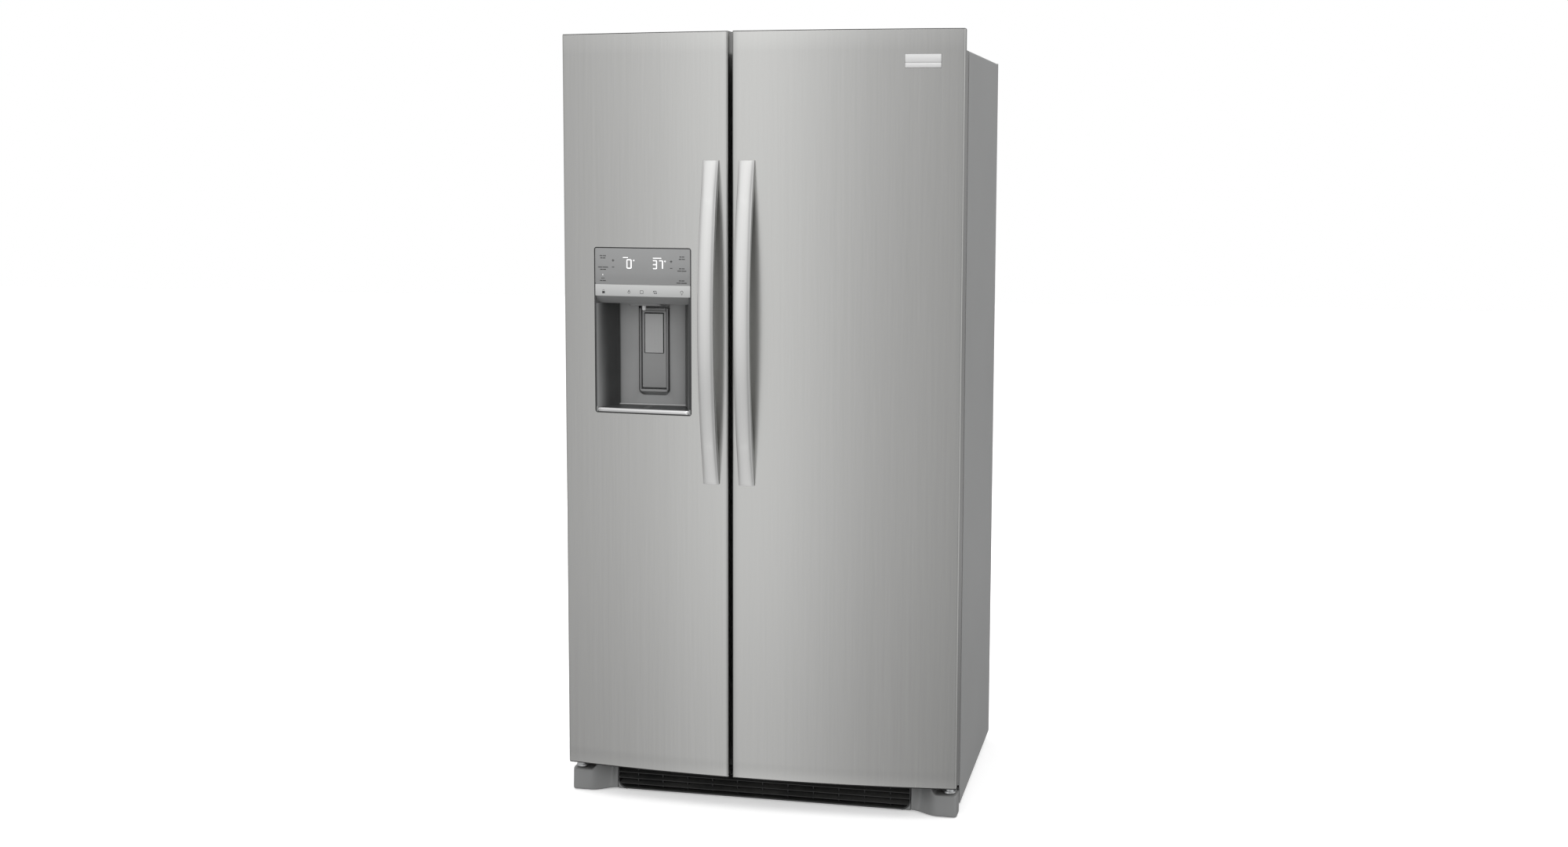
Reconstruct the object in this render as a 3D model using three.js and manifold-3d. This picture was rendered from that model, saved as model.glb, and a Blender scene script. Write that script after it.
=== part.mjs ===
// Side by side refrigerator: a steel cabinet with a freezer on the left and a fresh-food compartment on
// the right, two full-height bowed doors, and a water and ice dispenser in the freezer door.
// Millimetres. +Z up, -Y is the front, +X the fresh-food side. The origin is on the floor under the
// middle of the box.
import * as THREE from "three";
import { mergeVertices } from "three/addons/utils/BufferGeometryUtils.js";
import Module from "manifold-3d";

// Driving dimensions
const WIDTH = 911; // over the cabinet's sides, and over the pair of doors
const CABINET_TOP = 1716;
const CABINET_DEPTH = 600;
const SIDE_BOTTOM = 19; // lower edge of the side panels
const DOOR_TOP = 1760;
const DOOR_BOTTOM = 74;
const DOOR_EDGE = 59; // door thickness at its outer side
const DOOR_BOW = 33; // how far the pair of doors crowns forward at the middle
const DOOR_RIM = 26; // thickness of the raised rim in front of the top hinges
const RIM_BASE = 1714; // top of the door behind that rim
const GASKET_DEPTH = 12;
const FREEZER_DOOR_EDGE = -62.5; // the two free edges either side of the centre gap
const FRIDGE_DOOR_EDGE = -53;
const HANDLE_REACH = 60;
const SHEET = 1.2; // steel sheet
const LINER = 1.5; // plastic liner wall
const CLEAR = 0.3; // gap between pieces that touch
const WALL = 45; // insulated side wall
const MULLION = [-92, -24]; // the wall between the two compartments
const FLOOR_Z = 105; // compartment floor
const CEILING_Z = 1672;
const STEP_Y = 112; // the floor steps up here over the machine compartment
const STEP_Z = 285;
const PIVOT_INSET = 20; // door pivot, inboard of the side
const PIVOT_DEPTH = 18; // door pivot, in front of the door's rear face
const PIN_RADIUS = 5.5;

const SIDE = WIDTH / 2;
const DEPTH = HANDLE_REACH + DOOR_BOW + DOOR_EDGE + GASKET_DEPTH + CABINET_DEPTH;
const BACK = DEPTH / 2;
const FRONT = BACK - CABINET_DEPTH;
const DOOR_REAR = FRONT - GASKET_DEPTH;
const EDGE_FRONT = DOOR_REAR - DOOR_EDGE;
const PIVOT_X = SIDE - PIVOT_INSET;
const PIVOT_Y = DOOR_REAR - PIVOT_DEPTH;
const REAR_WALL = BACK - 52; // inner face of the compartments' back wall
const FREEZER = { x0: -SIDE + WALL, x1: MULLION[0] };
const FRIDGE = { x0: MULLION[1], x1: SIDE - WALL };

const wasm = await Module();
wasm.setup();

const refrigerator = new THREE.Group();

// Finishes
const finish = (color, roughness, metalness = 0) =>
  new THREE.MeshStandardMaterial({ color, roughness, metalness });
const STAINLESS = finish(0xa9a9a7, 0.34, 0.9);
const GRAY_PAINT = finish(0x808384, 0.5, 0.2);
const ZINC = finish(0xb9bbbc, 0.35, 0.9);
const FOAM = finish(0xd8c79a, 0.95);
const WHITE_PLASTIC = finish(0xe9ecec, 0.45);
const GRAY_PLASTIC = finish(0x77797a, 0.5);
const DARK_PLASTIC = finish(0x2b2c2d, 0.55);
const BLACK_PLASTIC = finish(0x161718, 0.6);
const DISPENSER_GRAY = finish(0x6c6e6f, 0.4);
const DISPLAY_GLASS = finish(0x8f9193, 0.15);
const CLEAR_PLASTIC = finish(0xdfe7ea, 0.15);
const RUBBER = finish(0x5b5d5f, 0.8);
const BLACK_PAINT = finish(0x1b1c1d, 0.45, 0.2);
const COPPER = finish(0xb4714a, 0.35, 0.9);
const ALUMINIUM = finish(0xc8cacc, 0.4, 0.9);
const CHROME = finish(0xd9dadb, 0.12, 1);

// A closed three.js geometry as a solid that can be cut and joined
function solid(geometry) {
  geometry.deleteAttribute("normal");
  geometry.deleteAttribute("uv");
  const merged = mergeVertices(geometry, 1e-3);
  return new wasm.Manifold(
    new wasm.Mesh({
      numProp: 3,
      vertProperties: merged.attributes.position.array,
      triVerts: new Uint32Array(merged.index.array),
    }),
  );
}

// Adds a solid to the refrigerator as a named piece
function piece(name, body, material) {
  const { vertProperties, triVerts } = body.getMesh();
  const geometry = new THREE.BufferGeometry();
  geometry.setAttribute("position", new THREE.BufferAttribute(vertProperties, 3));
  geometry.setIndex(new THREE.BufferAttribute(triVerts, 1));
  geometry.computeVertexNormals();
  const mesh = new THREE.Mesh(geometry, material);
  mesh.name = name;
  refrigerator.add(mesh);
}

const join = (...bodies) => bodies.reduce((a, b) => a.add(b));
const cut = (body, ...tools) => tools.reduce((a, b) => a.subtract(b), body);

function block(x0, x1, y0, y1, z0, z1) {
  const geometry = new THREE.BoxGeometry(x1 - x0, y1 - y0, z1 - z0);
  geometry.translate((x0 + x1) / 2, (y0 + y1) / 2, (z0 + z1) / 2);
  return solid(geometry);
}

// A round bar along x, y or z
function bar(axis, centre, radius, length, sides = 16) {
  const geometry = new THREE.CylinderGeometry(radius, radius, length, sides);
  if (axis === "x") geometry.rotateZ(Math.PI / 2);
  if (axis === "z") geometry.rotateX(Math.PI / 2);
  geometry.translate(...centre);
  return solid(geometry);
}

const outline = (points) => new THREE.Shape(points.map(([u, v]) => new THREE.Vector2(u, v)));
const flat = (shape, depth) =>
  new THREE.ExtrudeGeometry(shape, { depth, bevelEnabled: false, curveSegments: 6 });

// An outline in plan (x, y), raised from z0 to z1
function raised(shape, z0, z1) {
  return solid(flat(shape, z1 - z0).translate(0, 0, z0));
}

// An outline in front view (x, z), carried from y0 to y1
function carried(shape, y0, y1) {
  return solid(flat(shape, y1 - y0).rotateX(Math.PI / 2).translate(0, y1, 0));
}

// An outline in side view (y, z), carried from x0 to x1
function across(shape, x0, x1) {
  const turn = new THREE.Matrix4().set(0, 0, 1, x0, 1, 0, 0, 0, 0, 1, 0, 0, 0, 0, 0, 1);
  return solid(flat(shape, x1 - x0).applyMatrix4(turn));
}

// A rectangle with round corners, centred on (cx, cy)
function roundedRect(cx, cy, width, height, r) {
  const [x, y] = [cx - width / 2, cy - height / 2];
  const s = new THREE.Shape();
  s.moveTo(x + r, y);
  s.lineTo(x + width - r, y);
  s.absarc(x + width - r, y + r, r, -Math.PI / 2, 0);
  s.lineTo(x + width, y + height - r);
  s.absarc(x + width - r, y + height - r, r, 0, Math.PI / 2);
  s.lineTo(x + r, y + height);
  s.absarc(x + r, y + height - r, r, Math.PI / 2, Math.PI);
  s.lineTo(x, y + r);
  s.absarc(x + r, y + r, r, Math.PI, Math.PI * 1.5);
  return s;
}

// The bowed front: one shallow parabola over both doors
const bow = (x) => EDGE_FRONT - DOOR_BOW * (1 - (x / SIDE) ** 2);

// Plan outline from the bowed front, set back by inset, to a flat rear
function bowedOutline(x0, x1, inset, rear, steps = 14) {
  const points = [];
  for (let i = 0; i <= steps; i++) {
    const x = x0 + ((x1 - x0) * i) / steps;
    points.push([x, bow(x) + inset]);
  }
  return outline([...points, [x1, rear], [x0, rear]]);
}

// An open-topped tray, bin or drawer
function tray(x0, x1, y0, y1, z0, z1, wall, floor = wall) {
  return cut(
    block(x0, x1, y0, y1, z0, z1),
    block(x0 + wall, x1 - wall, y0 + wall, y1 - wall, z0 + floor, z1 + 1),
  );
}

// ---------------------------------------------------------------- cabinet

// Side view of a compartment, grown by `grow` on every inner face
const compartmentSide = (grow, front) =>
  outline([
    [front, FLOOR_Z - grow],
    [STEP_Y + grow, FLOOR_Z - grow],
    [STEP_Y + grow, STEP_Z - grow],
    [REAR_WALL + grow, STEP_Z - grow],
    [REAR_WALL + grow, CEILING_Z + grow],
    [front, CEILING_Z + grow],
  ]);

const FOAM_BOTTOM = 62;
const MACHINE = { y: 164, top: 245 };

function cabinetShell() {
  // Folded steel: two sides and a top, with a front frame around both openings
  const sheet = cut(
    block(-SIDE, SIDE, FRONT, BACK - SHEET - CLEAR, SIDE_BOTTOM, CABINET_TOP),
    block(-SIDE + SHEET, SIDE - SHEET, FRONT + SHEET, BACK + 1, -1, CABINET_TOP - SHEET),
    block(-SIDE + SHEET, SIDE - SHEET, FRONT - 1, BACK, -1, FOAM_BOTTOM),
    ...[FREEZER, FRIDGE].map((c) => block(c.x0, c.x1, FRONT - 1, FRONT + 5, FLOOR_Z, CEILING_Z)),
  );
  piece("cabinet_wrapper", sheet, GRAY_PAINT);

  const back = cut(
    block(-SIDE, SIDE, BACK - SHEET, BACK, SIDE_BOTTOM, CABINET_TOP),
    block(-SIDE + 30, SIDE - 30, BACK - 5, BACK + 5, SIDE_BOTTOM + 8, MACHINE.top - 5),
  );
  piece("back_panel", back, ZINC);

  const inside = SIDE - SHEET - CLEAR;
  const foam = cut(
    block(
      -inside, inside, FRONT + SHEET + CLEAR, BACK - SHEET - CLEAR,
      FOAM_BOTTOM + CLEAR, CABINET_TOP - SHEET - CLEAR,
    ),
    ...[FREEZER, FRIDGE].map((c) =>
      across(compartmentSide(LINER + CLEAR, FRONT - 1), c.x0 - LINER - CLEAR, c.x1 + LINER + CLEAR),
    ),
    block(-inside - 1, inside + 1, MACHINE.y, BACK + 1, FOAM_BOTTOM - 1, MACHINE.top),
  );
  piece("cabinet_foam", foam, FOAM);
}

function liner(name, { x0, x1 }) {
  const shell = cut(
    across(compartmentSide(LINER, FRONT + SHEET + CLEAR), x0 - LINER, x1 + LINER),
    across(compartmentSide(0, FRONT - 5), x0, x1),
  );
  piece(name, shell, WHITE_PLASTIC);
}

// ---------------------------------------------------------------- base

const LEG = { x: 392, y: -180 };
const ROLLER = { x: 430, y: 338, z: 20, r: 20 };
const ROLLER_WIDTH = 14;
const PAN_Z = SIDE_BOTTOM + 2;

function basePan() {
  const half = SIDE - SHEET - CLEAR;
  const plate = block(-half, half, FRONT + 8, BACK - 4, SIDE_BOTTOM + CLEAR, PAN_Z);
  const lip = block(-half, half, FRONT + 8, FRONT + 10, SIDE_BOTTOM + CLEAR, 54);
  const rear = block(-half, half, BACK - 6, BACK - 4, SIDE_BOTTOM + CLEAR, 27);
  let pan = join(plate, lip, rear);
  for (const side of [-1, 1]) {
    const rail = block(-1, 1, FRONT + 8, MACHINE.y, SIDE_BOTTOM + CLEAR, FOAM_BOTTOM);
    pan = join(pan, rail.translate([side * (half - 1), 0, 0]));
    pan = cut(pan, bar("z", [side * LEG.x, LEG.y, PAN_Z], 6.4, 20, 12));
    const [cx, cy, reach] = [side * ROLLER.x, ROLLER.y, ROLLER.r + 4];
    pan = cut(pan, block(cx - 9, cx + 9, cy - reach, cy + reach, 0, 30));
    for (const cheek of [-1, 1]) {
      const x = cx + cheek * 10;
      pan = join(pan, block(x - 1, x + 1, cy - 9, cy + 9, SIDE_BOTTOM + CLEAR, 32));
    }
    pan = join(pan, bar("x", [cx, cy, ROLLER.z], 3, 20, 12));
  }
  piece("base_pan", pan, ZINC);
}

function roller(name, side) {
  const { x, y, z, r } = ROLLER;
  const wheel = cut(
    bar("x", [side * x, y, z], r, ROLLER_WIDTH, 24),
    bar("x", [side * x, y, z], 3.4, ROLLER_WIDTH + 2, 16),
  );
  piece(name, wheel, BLACK_PLASTIC);
}

function levellingLeg(name, side) {
  const at = (z) => [side * LEG.x, LEG.y, z];
  const leg = join(bar("z", at(29), 5.6, 44, 12), bar("z", at(4), 15, 8, 20), bar("z", at(10), 9, 5, 6));
  piece(name, leg, ZINC);
}

const COVER_FRONT = -272;
const COVER_TOP = 52;

// A moulded cover that hides the roller and leg: a rounded shoe outside, waisted where it meets the grille
function footCover(name, side) {
  const shape = new THREE.Shape();
  shape.moveTo(SIDE - 1, -150);
  shape.lineTo(SIDE - 1, -238);
  shape.bezierCurveTo(SIDE - 1, -262, SIDE - 18, COVER_FRONT, SIDE - 40, COVER_FRONT);
  shape.bezierCurveTo(SIDE - 72, COVER_FRONT, SIDE - 68, -246, 350, -253);
  shape.lineTo(350, -228);
  shape.lineTo(350, -150);
  const core = new THREE.Shape();
  core.moveTo(SIDE - 4, -140);
  core.lineTo(SIDE - 4, -236);
  core.bezierCurveTo(SIDE - 4, -258, SIDE - 20, COVER_FRONT + 3, SIDE - 40, COVER_FRONT + 3);
  core.bezierCurveTo(SIDE - 69, COVER_FRONT + 3, SIDE - 68, -242, 353, -249);
  core.lineTo(353, -140);
  let cover = cut(
    raised(shape, 1, COVER_TOP),
    raised(core, -5, COVER_TOP - 3),
    block(300, SIDE + 5, FRONT - 0.5, 0, SIDE_BOTTOM - 1, COVER_TOP + 5),
    block(340, 360, FRONT - 9, 0, 0, COVER_TOP + 5),
  );
  // The outer side and front draw in towards the floor
  const lean = outline([[SIDE + 5, -5], [SIDE - 13, -5], [SIDE + 5, 58]]);
  cover = cut(cover, carried(lean, -300, 0));
  piece(name, side < 0 ? cover.mirror([1, 0, 0]) : cover, GRAY_PLASTIC);
}

function toeGrille() {
  const half = 348;
  const [y0, y1] = [-252, -240];
  let grille = carried(roundedRect(0, 36, 2 * half, 62, 14), y0, y1);
  for (const z of [20, 32, 44, 56]) {
    grille = cut(grille, block(-half + 20, half - 20, y0 - 1, y1 - 3, z - 3.5, z + 3.5));
    for (let x = -300; x <= 300; x += 60) {
      grille = cut(grille, block(x - 25, x + 25, y0, y1 + 1, z - 2, z + 2));
    }
  }
  const tongues = [-250, 250].map((x) => block(x - 15, x + 15, y1 - 1, FRONT + 7.6, 40, 44));
  piece("toe_grille", join(grille, ...tongues), BLACK_PLASTIC);
}

// ---------------------------------------------------------------- hinges

const LOWER_PLATE = { z0: 55, z1: 59 };

function lowerHinge(name, side) {
  const [x, y] = [side * PIVOT_X, PIVOT_Y];
  const plate = join(
    block(x - 14, x + 14, y, FRONT - 1, LOWER_PLATE.z0, LOWER_PLATE.z1),
    bar("z", [x, y, (LOWER_PLATE.z0 + LOWER_PLATE.z1) / 2], 14, 4, 20),
    block(x - 14, x + 14, FRONT - 3, FRONT - 0.5, LOWER_PLATE.z0, 72),
    bar("z", [x, y, 66], 10, DOOR_BOTTOM - CLEAR * 2 - LOWER_PLATE.z1 + 1.2, 20),
    bar("z", [x, y, 77], PIN_RADIUS, 34, 16),
  );
  piece(name, plate, ZINC);
}

const BRACKET = { z0: CABINET_TOP + CLEAR, z1: CABINET_TOP + 4 };
const BOSS_RADIUS = 11;

function upperHinge(name, side) {
  // A flat arm from the cabinet top, kept inboard of the pivot so that the door's rim clears it to the limit
  const [inboard, outboard, rear] = [PIVOT_X - 62, PIVOT_X - 5, FRONT + 92];
  const strap = outline([
    [PIVOT_X - BOSS_RADIUS, PIVOT_Y],
    [PIVOT_X - 1, PIVOT_Y],
    [outboard, FRONT + 6],
    [outboard, rear],
    [inboard, rear],
    [inboard, FRONT + 22],
  ]);
  const arm = join(
    raised(strap, BRACKET.z0, BRACKET.z1),
    bar("z", [PIVOT_X, PIVOT_Y, (BRACKET.z0 + BRACKET.z1) / 2], BOSS_RADIUS, BRACKET.z1 - BRACKET.z0, 20),
    bar("z", [PIVOT_X, PIVOT_Y, BRACKET.z1 - 12], PIN_RADIUS, 30, 16),
  );
  piece(name, side < 0 ? arm.mirror([1, 0, 0]) : arm, ZINC);
}

const COVER_WALL = 2.5;

// A cap over the arm, its outer side in line with the pivot
function hingeCover(name, side) {
  const [x0, x1, y0, y1] = [PIVOT_X - 70, PIVOT_X - 1.5, FRONT + 6, FRONT + 104];
  const cx = (x0 + x1) / 2;
  const cy = (y0 + y1) / 2;
  const [z0, z1] = [CABINET_TOP + CLEAR, CABINET_TOP + 24];
  const cover = cut(
    raised(roundedRect(cx, cy, x1 - x0, y1 - y0, 9), z0, z1),
    raised(
      roundedRect(cx, cy, x1 - x0 - 2 * COVER_WALL, y1 - y0 - 2 * COVER_WALL, 7),
      z0 - 1, z1 - COVER_WALL,
    ),
    block(x0 + 6, x1 - COVER_WALL, y0 - 1, y0 + 6, z0 - 1, z0 + 6),
  );
  piece(name, side < 0 ? cover.mirror([1, 0, 0]) : cover, GRAY_PLASTIC);
}

// ---------------------------------------------------------------- doors

const FREEZER_DOOR = { x0: -SIDE, x1: FREEZER_DOOR_EDGE, pivot: -PIVOT_X, inside: FREEZER };
const FRIDGE_DOOR = { x0: FRIDGE_DOOR_EDGE, x1: SIDE, pivot: PIVOT_X, inside: FRIDGE };
const DISPENSER = { x0: -381, x1: -148, z0: 905, z1: 1283 };
const DISPENSER_X = (DISPENSER.x0 + DISPENSER.x1) / 2;
const DYKE_DEPTH = 50;
const DYKE_INSET = 14;
const DYKE_WIDTH = 20;
const HOUSING_REAR = -186;
const RIM_REAR = EDGE_FRONT + DOOR_RIM;

// The outer block of a door drawn in by `inset`: full depth up to the hinge ledge, then only the rim
function doorBlock(door, inset, rear) {
  const [x0, x1] = [door.x0 + inset, door.x1 - inset];
  return join(
    raised(bowedOutline(x0, x1, inset, rear), DOOR_BOTTOM + inset, RIM_BASE - inset),
    raised(bowedOutline(x0, x1, inset, RIM_REAR), DOOR_BOTTOM + inset, DOOR_TOP - inset),
  );
}

function doorSkin(name, door, ...openings) {
  const [x0, x1] = [door.x0 + SHEET, door.x1 - SHEET];
  const hollow = raised(bowedOutline(x0, x1, SHEET, 0), DOOR_BOTTOM + SHEET, DOOR_TOP - SHEET);
  const pinHole = bar("z", [door.pivot, PIVOT_Y, DOOR_BOTTOM], 11.5, 10, 20);
  piece(name, cut(doorBlock(door, 0, DOOR_REAR), hollow, pinHole, ...openings), STAINLESS);
}

// The foamed inner door with its moulded dyke, which plugs into the compartment
function innerDoor(door) {
  const { inside } = door;
  const [dx0, dx1] = [inside.x0 + DYKE_INSET, inside.x1 - DYKE_INSET];
  const [dz0, dz1] = [FLOOR_Z + DYKE_INSET, CEILING_Z - DYKE_INSET];
  const dyke = cut(
    block(dx0, dx1, DOOR_REAR - 1, DOOR_REAR + DYKE_DEPTH, dz0, dz1),
    block(
      dx0 + DYKE_WIDTH, dx1 - DYKE_WIDTH, DOOR_REAR, 0,
      dz0 + DYKE_WIDTH, dz1 - DYKE_WIDTH,
    ),
  );
  const pinHoles = [DOOR_BOTTOM, RIM_BASE].map((z) =>
    bar("z", [door.pivot, PIVOT_Y, z], PIN_RADIUS + 0.7, 60, 16),
  );
  return cut(join(doorBlock(door, SHEET + CLEAR, DOOR_REAR), dyke), ...pinHoles);
}

function gasket(name, x0, x1) {
  const [y0, y1, w] = [DOOR_REAR + CLEAR, FRONT - CLEAR, 15];
  const [z0, z1] = [FLOOR_Z - 20, CEILING_Z + 20];
  piece(name, cut(block(x0, x1, y0, y1, z0, z1), block(x0 + w, x1 - w, -300, 0, z0 + w, z1 - w)), RUBBER);
}

const HANDLE = { z0: 753, z1: 1477.5, width: 36, thickness: 15 };

// A bar arched out from the door, standing on the skin at both ends
function handle(name, cx) {
  const seat = Math.min(bow(cx - HANDLE.width / 2), bow(cx + HANDLE.width / 2)) - CLEAR;
  const front = -BACK;
  const middle = (HANDLE.z0 + HANDLE.z1) / 2;
  const half = (HANDLE.z1 - HANDLE.z0) / 2;
  const steps = 16;
  const points = [];
  for (let i = 0; i <= steps; i++) {
    const t = (2 * i) / steps - 1;
    points.push([front + (seat - 7 - front) * t * t, middle + half * t]);
  }
  points.push([seat, HANDLE.z1]);
  const foot = 0.84;
  for (let i = steps; i >= 0; i--) {
    const t = (2 * i) / steps - 1;
    const back = front + HANDLE.thickness;
    points.push([back + (seat - back) * t * t, middle + half * foot * t]);
  }
  points.push([seat, HANDLE.z0]);
  const profile = across(outline(points), cx - HANDLE.width / 2, cx + HANDLE.width / 2);
  piece(name, profile, STAINLESS);
}

const badgePlate = { x0: 328, x1: 405, z0: 1676.5, z1: 1705.5 };

function badge() {
  const { x0, x1, z0, z1 } = badgePlate;
  const sheet = cut(
    raised(bowedOutline(x0, x1, -1.8, -100, 4), z0, z1),
    raised(bowedOutline(x0 - 5, x1 + 5, -CLEAR, 0, 6), z0 - 5, z1 + 5),
  );
  piece("badge", sheet, CHROME);
}

// ---------------------------------------------------------------- dispenser

const NICHE = { z0: 917, z1: 1148, wall: 3, back: -213, draft: 24, corner: 18 };
const CHANNEL = { x0: DISPENSER_X - 39, x1: DISPENSER_X + 39, z0: 938, top: 1200, depth: 18, corner: 12 };
const PANEL_Z = 1172; // lower edge of the display panel
const AHEAD = -340; // in front of everything on the door
const PADDLE = { x0: DISPENSER_X - 29, x1: DISPENSER_X + 29, z0: 955, z1: 1133 };
const SILL_REAR = -288; // the drip tray's front bar reaches back to here
const PADDLE_HINGE = { y: -203, z: 1136 };

function nichePlan() {
  const { x0, x1 } = DISPENSER;
  const [left, right] = [x0 + NICHE.wall, x1 - NICHE.wall];
  const [l, r] = [left + NICHE.draft, right - NICHE.draft];
  const c = NICHE.corner;
  const s = new THREE.Shape();
  s.moveTo(left, AHEAD);
  s.lineTo(right, AHEAD);
  s.lineTo(right, -300);
  s.lineTo(r, NICHE.back - c);
  s.quadraticCurveTo(r - 2, NICHE.back, r - c, NICHE.back);
  s.lineTo(l + c, NICHE.back);
  s.quadraticCurveTo(l + 2, NICHE.back, l, NICHE.back - c);
  s.lineTo(left, -300);
  return s;
}

function dispenserHousing() {
  const { x0, x1, z0, z1 } = DISPENSER;
  const g = 0.6;
  const outer = raised(bowedOutline(x0 + g, x1 - g, 0, HOUSING_REAR, 6), z0 + g, z1 - g);
  const niche = raised(nichePlan(), NICHE.z0, NICHE.z1);
  const lipSide = outline([
    [AHEAD, NICHE.z1 - 1],
    [-286, NICHE.z1 - 1],
    [-312, PANEL_Z],
    [AHEAD, PANEL_Z],
  ]);
  const lip = across(lipSide, x0 + 5, x1 - 5);
  const [width, height] = [CHANNEL.x1 - CHANNEL.x0, CHANNEL.top - CHANNEL.z0];
  const channelShape = roundedRect(DISPENSER_X, CHANNEL.z0 + height / 2, width, height, CHANNEL.corner);
  const channel = cut(
    carried(channelShape, NICHE.back - 1, NICHE.back + CHANNEL.depth),
    block(x0, x1, -300, 0, NICHE.z1, 1300),
  );
  const screen = raised(bowedOutline(x0 + 3, x1 - 3, -5, -240, 6), PANEL_Z, z1 - 3);
  const sump = block(x0 + 12, x1 - 12, -400, NICHE.back - 8, z0 + 6, NICHE.z0 + 1);
  const sill = block(x0 + 3.7, x1 - 3.7, -400, SILL_REAR + CLEAR, z0 - 1, NICHE.z0 + 1);
  piece("dispenser_housing", cut(outer, niche, lip, channel, screen, sump, sill), DISPENSER_GRAY);
}

function displayPanel() {
  const { x0, x1, z1 } = DISPENSER;
  const panel = cut(
    raised(bowedOutline(x0 + 3.4, x1 - 3.4, 0, -284, 6), PANEL_Z + 0.4, z1 - 3.4),
    raised(bowedOutline(x0 + 8, x1 - 8, 4, -200, 6), 1178, z1 - 8),
  );
  piece("display_panel", panel, DISPLAY_GLASS);
}

function dispenserPaddle() {
  const { x0, x1, z0, z1 } = PADDLE;
  const blade = cut(block(x0, x1, -215, -209, z0, z1), block(x0 + 8, x1 - 8, -216, -213.5, 1038, 1126));
  const barrel = bar("x", [DISPENSER_X, PADDLE_HINGE.y, PADDLE_HINGE.z], 4, x1 - x0, 12);
  const web = block(x0, x1, -215, PADDLE_HINGE.y, PADDLE_HINGE.z - 6, PADDLE_HINGE.z - 1);
  piece("dispenser_paddle", join(blade, barrel, web), GRAY_PLASTIC);
}

function spout() {
  const top = NICHE.z1 - CLEAR;
  const chute = cut(
    block(DISPENSER_X - 31, DISPENSER_X + 31, -262, -222, top - 6, top),
    block(DISPENSER_X - 20, DISPENSER_X + 20, -252, -228, top - 8, top - 3),
  );
  const nozzle = bar("z", [DISPENSER_X - 14, -255, top - 8], 4, 14, 12);
  piece("dispenser_spout", join(chute, nozzle), WHITE_PLASTIC);
}

function dripTray() {
  const { x0, x1, z0 } = DISPENSER;
  const [left, right] = [x0 + 12.5, x1 - 12.5];
  const [rear, top] = [NICHE.back - 9, NICHE.z0 + 2];
  let body = join(
    block(left, right, -292, rear, z0 + 7, top - 1),
    raised(bowedOutline(x0 + 4, x1 - 4, 0, SILL_REAR, 6), z0 + 1, NICHE.z0 + 1),
  );
  for (let x = left + 12; x < right - 12; x += 14) {
    body = cut(body, block(x, x + 7, -280, rear - 8, z0 + 10, top + 1));
  }
  piece("drip_tray", body, DARK_PLASTIC);
}

// ---------------------------------------------------------------- door storage

const BIN_REAR = DOOR_REAR + 1;
const BIN_FRONT = -112; // the side that faces the shelves

function doorBin(name, { inside }, z, height) {
  const gap = DYKE_INSET + DYKE_WIDTH + 1.5;
  piece(name, tray(inside.x0 + gap, inside.x1 - gap, BIN_REAR, BIN_FRONT, z, z + height, 3), CLEAR_PLASTIC);
}

// The dairy compartment: a box moulded into the inner door, closed by a clear lid hung from its roof
const DAIRY = { x0: FRIDGE.x0 + 28, x1: FRIDGE.x1 - 28, z0: 1450, z1: 1612, wall: 8, front: -114 };
const LID_HINGE = { y: -121, z: 1597 };

function dairyBox() {
  const { x0, x1, z0, z1, wall, front } = DAIRY;
  return [
    block(x0, x1, DOOR_REAR - 1, front, z0, z1),
    block(x0 + wall, x1 - wall, DOOR_REAR, 0, z0 + wall, z1 - wall),
  ];
}

function dairyLid() {
  const { x0, x1, z0, wall } = DAIRY;
  const { y, z } = LID_HINGE;
  const [a, b] = [x0 + wall + 1.5, x1 - wall - 1.5];
  const plate = block(a, b, y, y + 3, z0 + wall + 2, z);
  const grip = block((a + b) / 2 - 40, (a + b) / 2 + 40, y, y + 10, z0 + wall + 2, z0 + wall + 6);
  piece("dairy_lid", join(plate, grip, bar("x", [(a + b) / 2, y, z], 4, b - a, 12)), CLEAR_PLASTIC);
}

// ---------------------------------------------------------------- shelves and drawers

const SHELF_FRONT = -90;
const SIDE_GAP = 2;

function glassShelf(name, z, { x0, x1 }, rear) {
  const [a, b] = [x0 + SIDE_GAP, x1 - SIDE_GAP];
  const shelf = cut(
    join(
      block(a, b, SHELF_FRONT, rear, z - 6, z),
      block(a, b, SHELF_FRONT, SHELF_FRONT + 12, z - 14, z + 4),
    ),
    block(a + 8, b - 8, SHELF_FRONT + 12, rear - 8, z - 2, z + 1),
  );
  piece(name, shelf, CLEAR_PLASTIC);
}

// A grid of welded wires: a frame with slots between the wires, and a deeper front rail
function wireShelf(name, z, { x0, x1 }, rear) {
  const [a, b] = [x0 + SIDE_GAP, x1 - SIDE_GAP];
  let shelf = join(
    block(a, b, SHELF_FRONT + 3, rear, z - 4, z),
    block(a, b, SHELF_FRONT, SHELF_FRONT + 5, z - 12, z + 1),
  );
  const [pitch, wire] = [22, 3];
  for (let x = a + 4; x + pitch < b; x += pitch) {
    const right = Math.min(x + pitch - wire, b - 4);
    shelf = cut(shelf, block(x, right, SHELF_FRONT + 8, 80, z - 9, z + 9));
    shelf = cut(shelf, block(x, right, 85, rear - 6, z - 9, z + 9));
  }
  piece(name, shelf, WHITE_PLASTIC);
}

function drawer(name, { x0, x1 }, rear, z0, z1, material) {
  const [a, b] = [x0 + 10, x1 - 10];
  const box = tray(a, b, SHELF_FRONT, rear, z0, z1, 3);
  const grip = block(a + 60, b - 60, SHELF_FRONT + 2.5, SHELF_FRONT + 14, z1 - 8, z1 - 4);
  piece(name, join(box, grip), material);
}

// ---------------------------------------------------------------- ice maker

const AUGER = { x: -251, z: 1172 };

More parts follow.
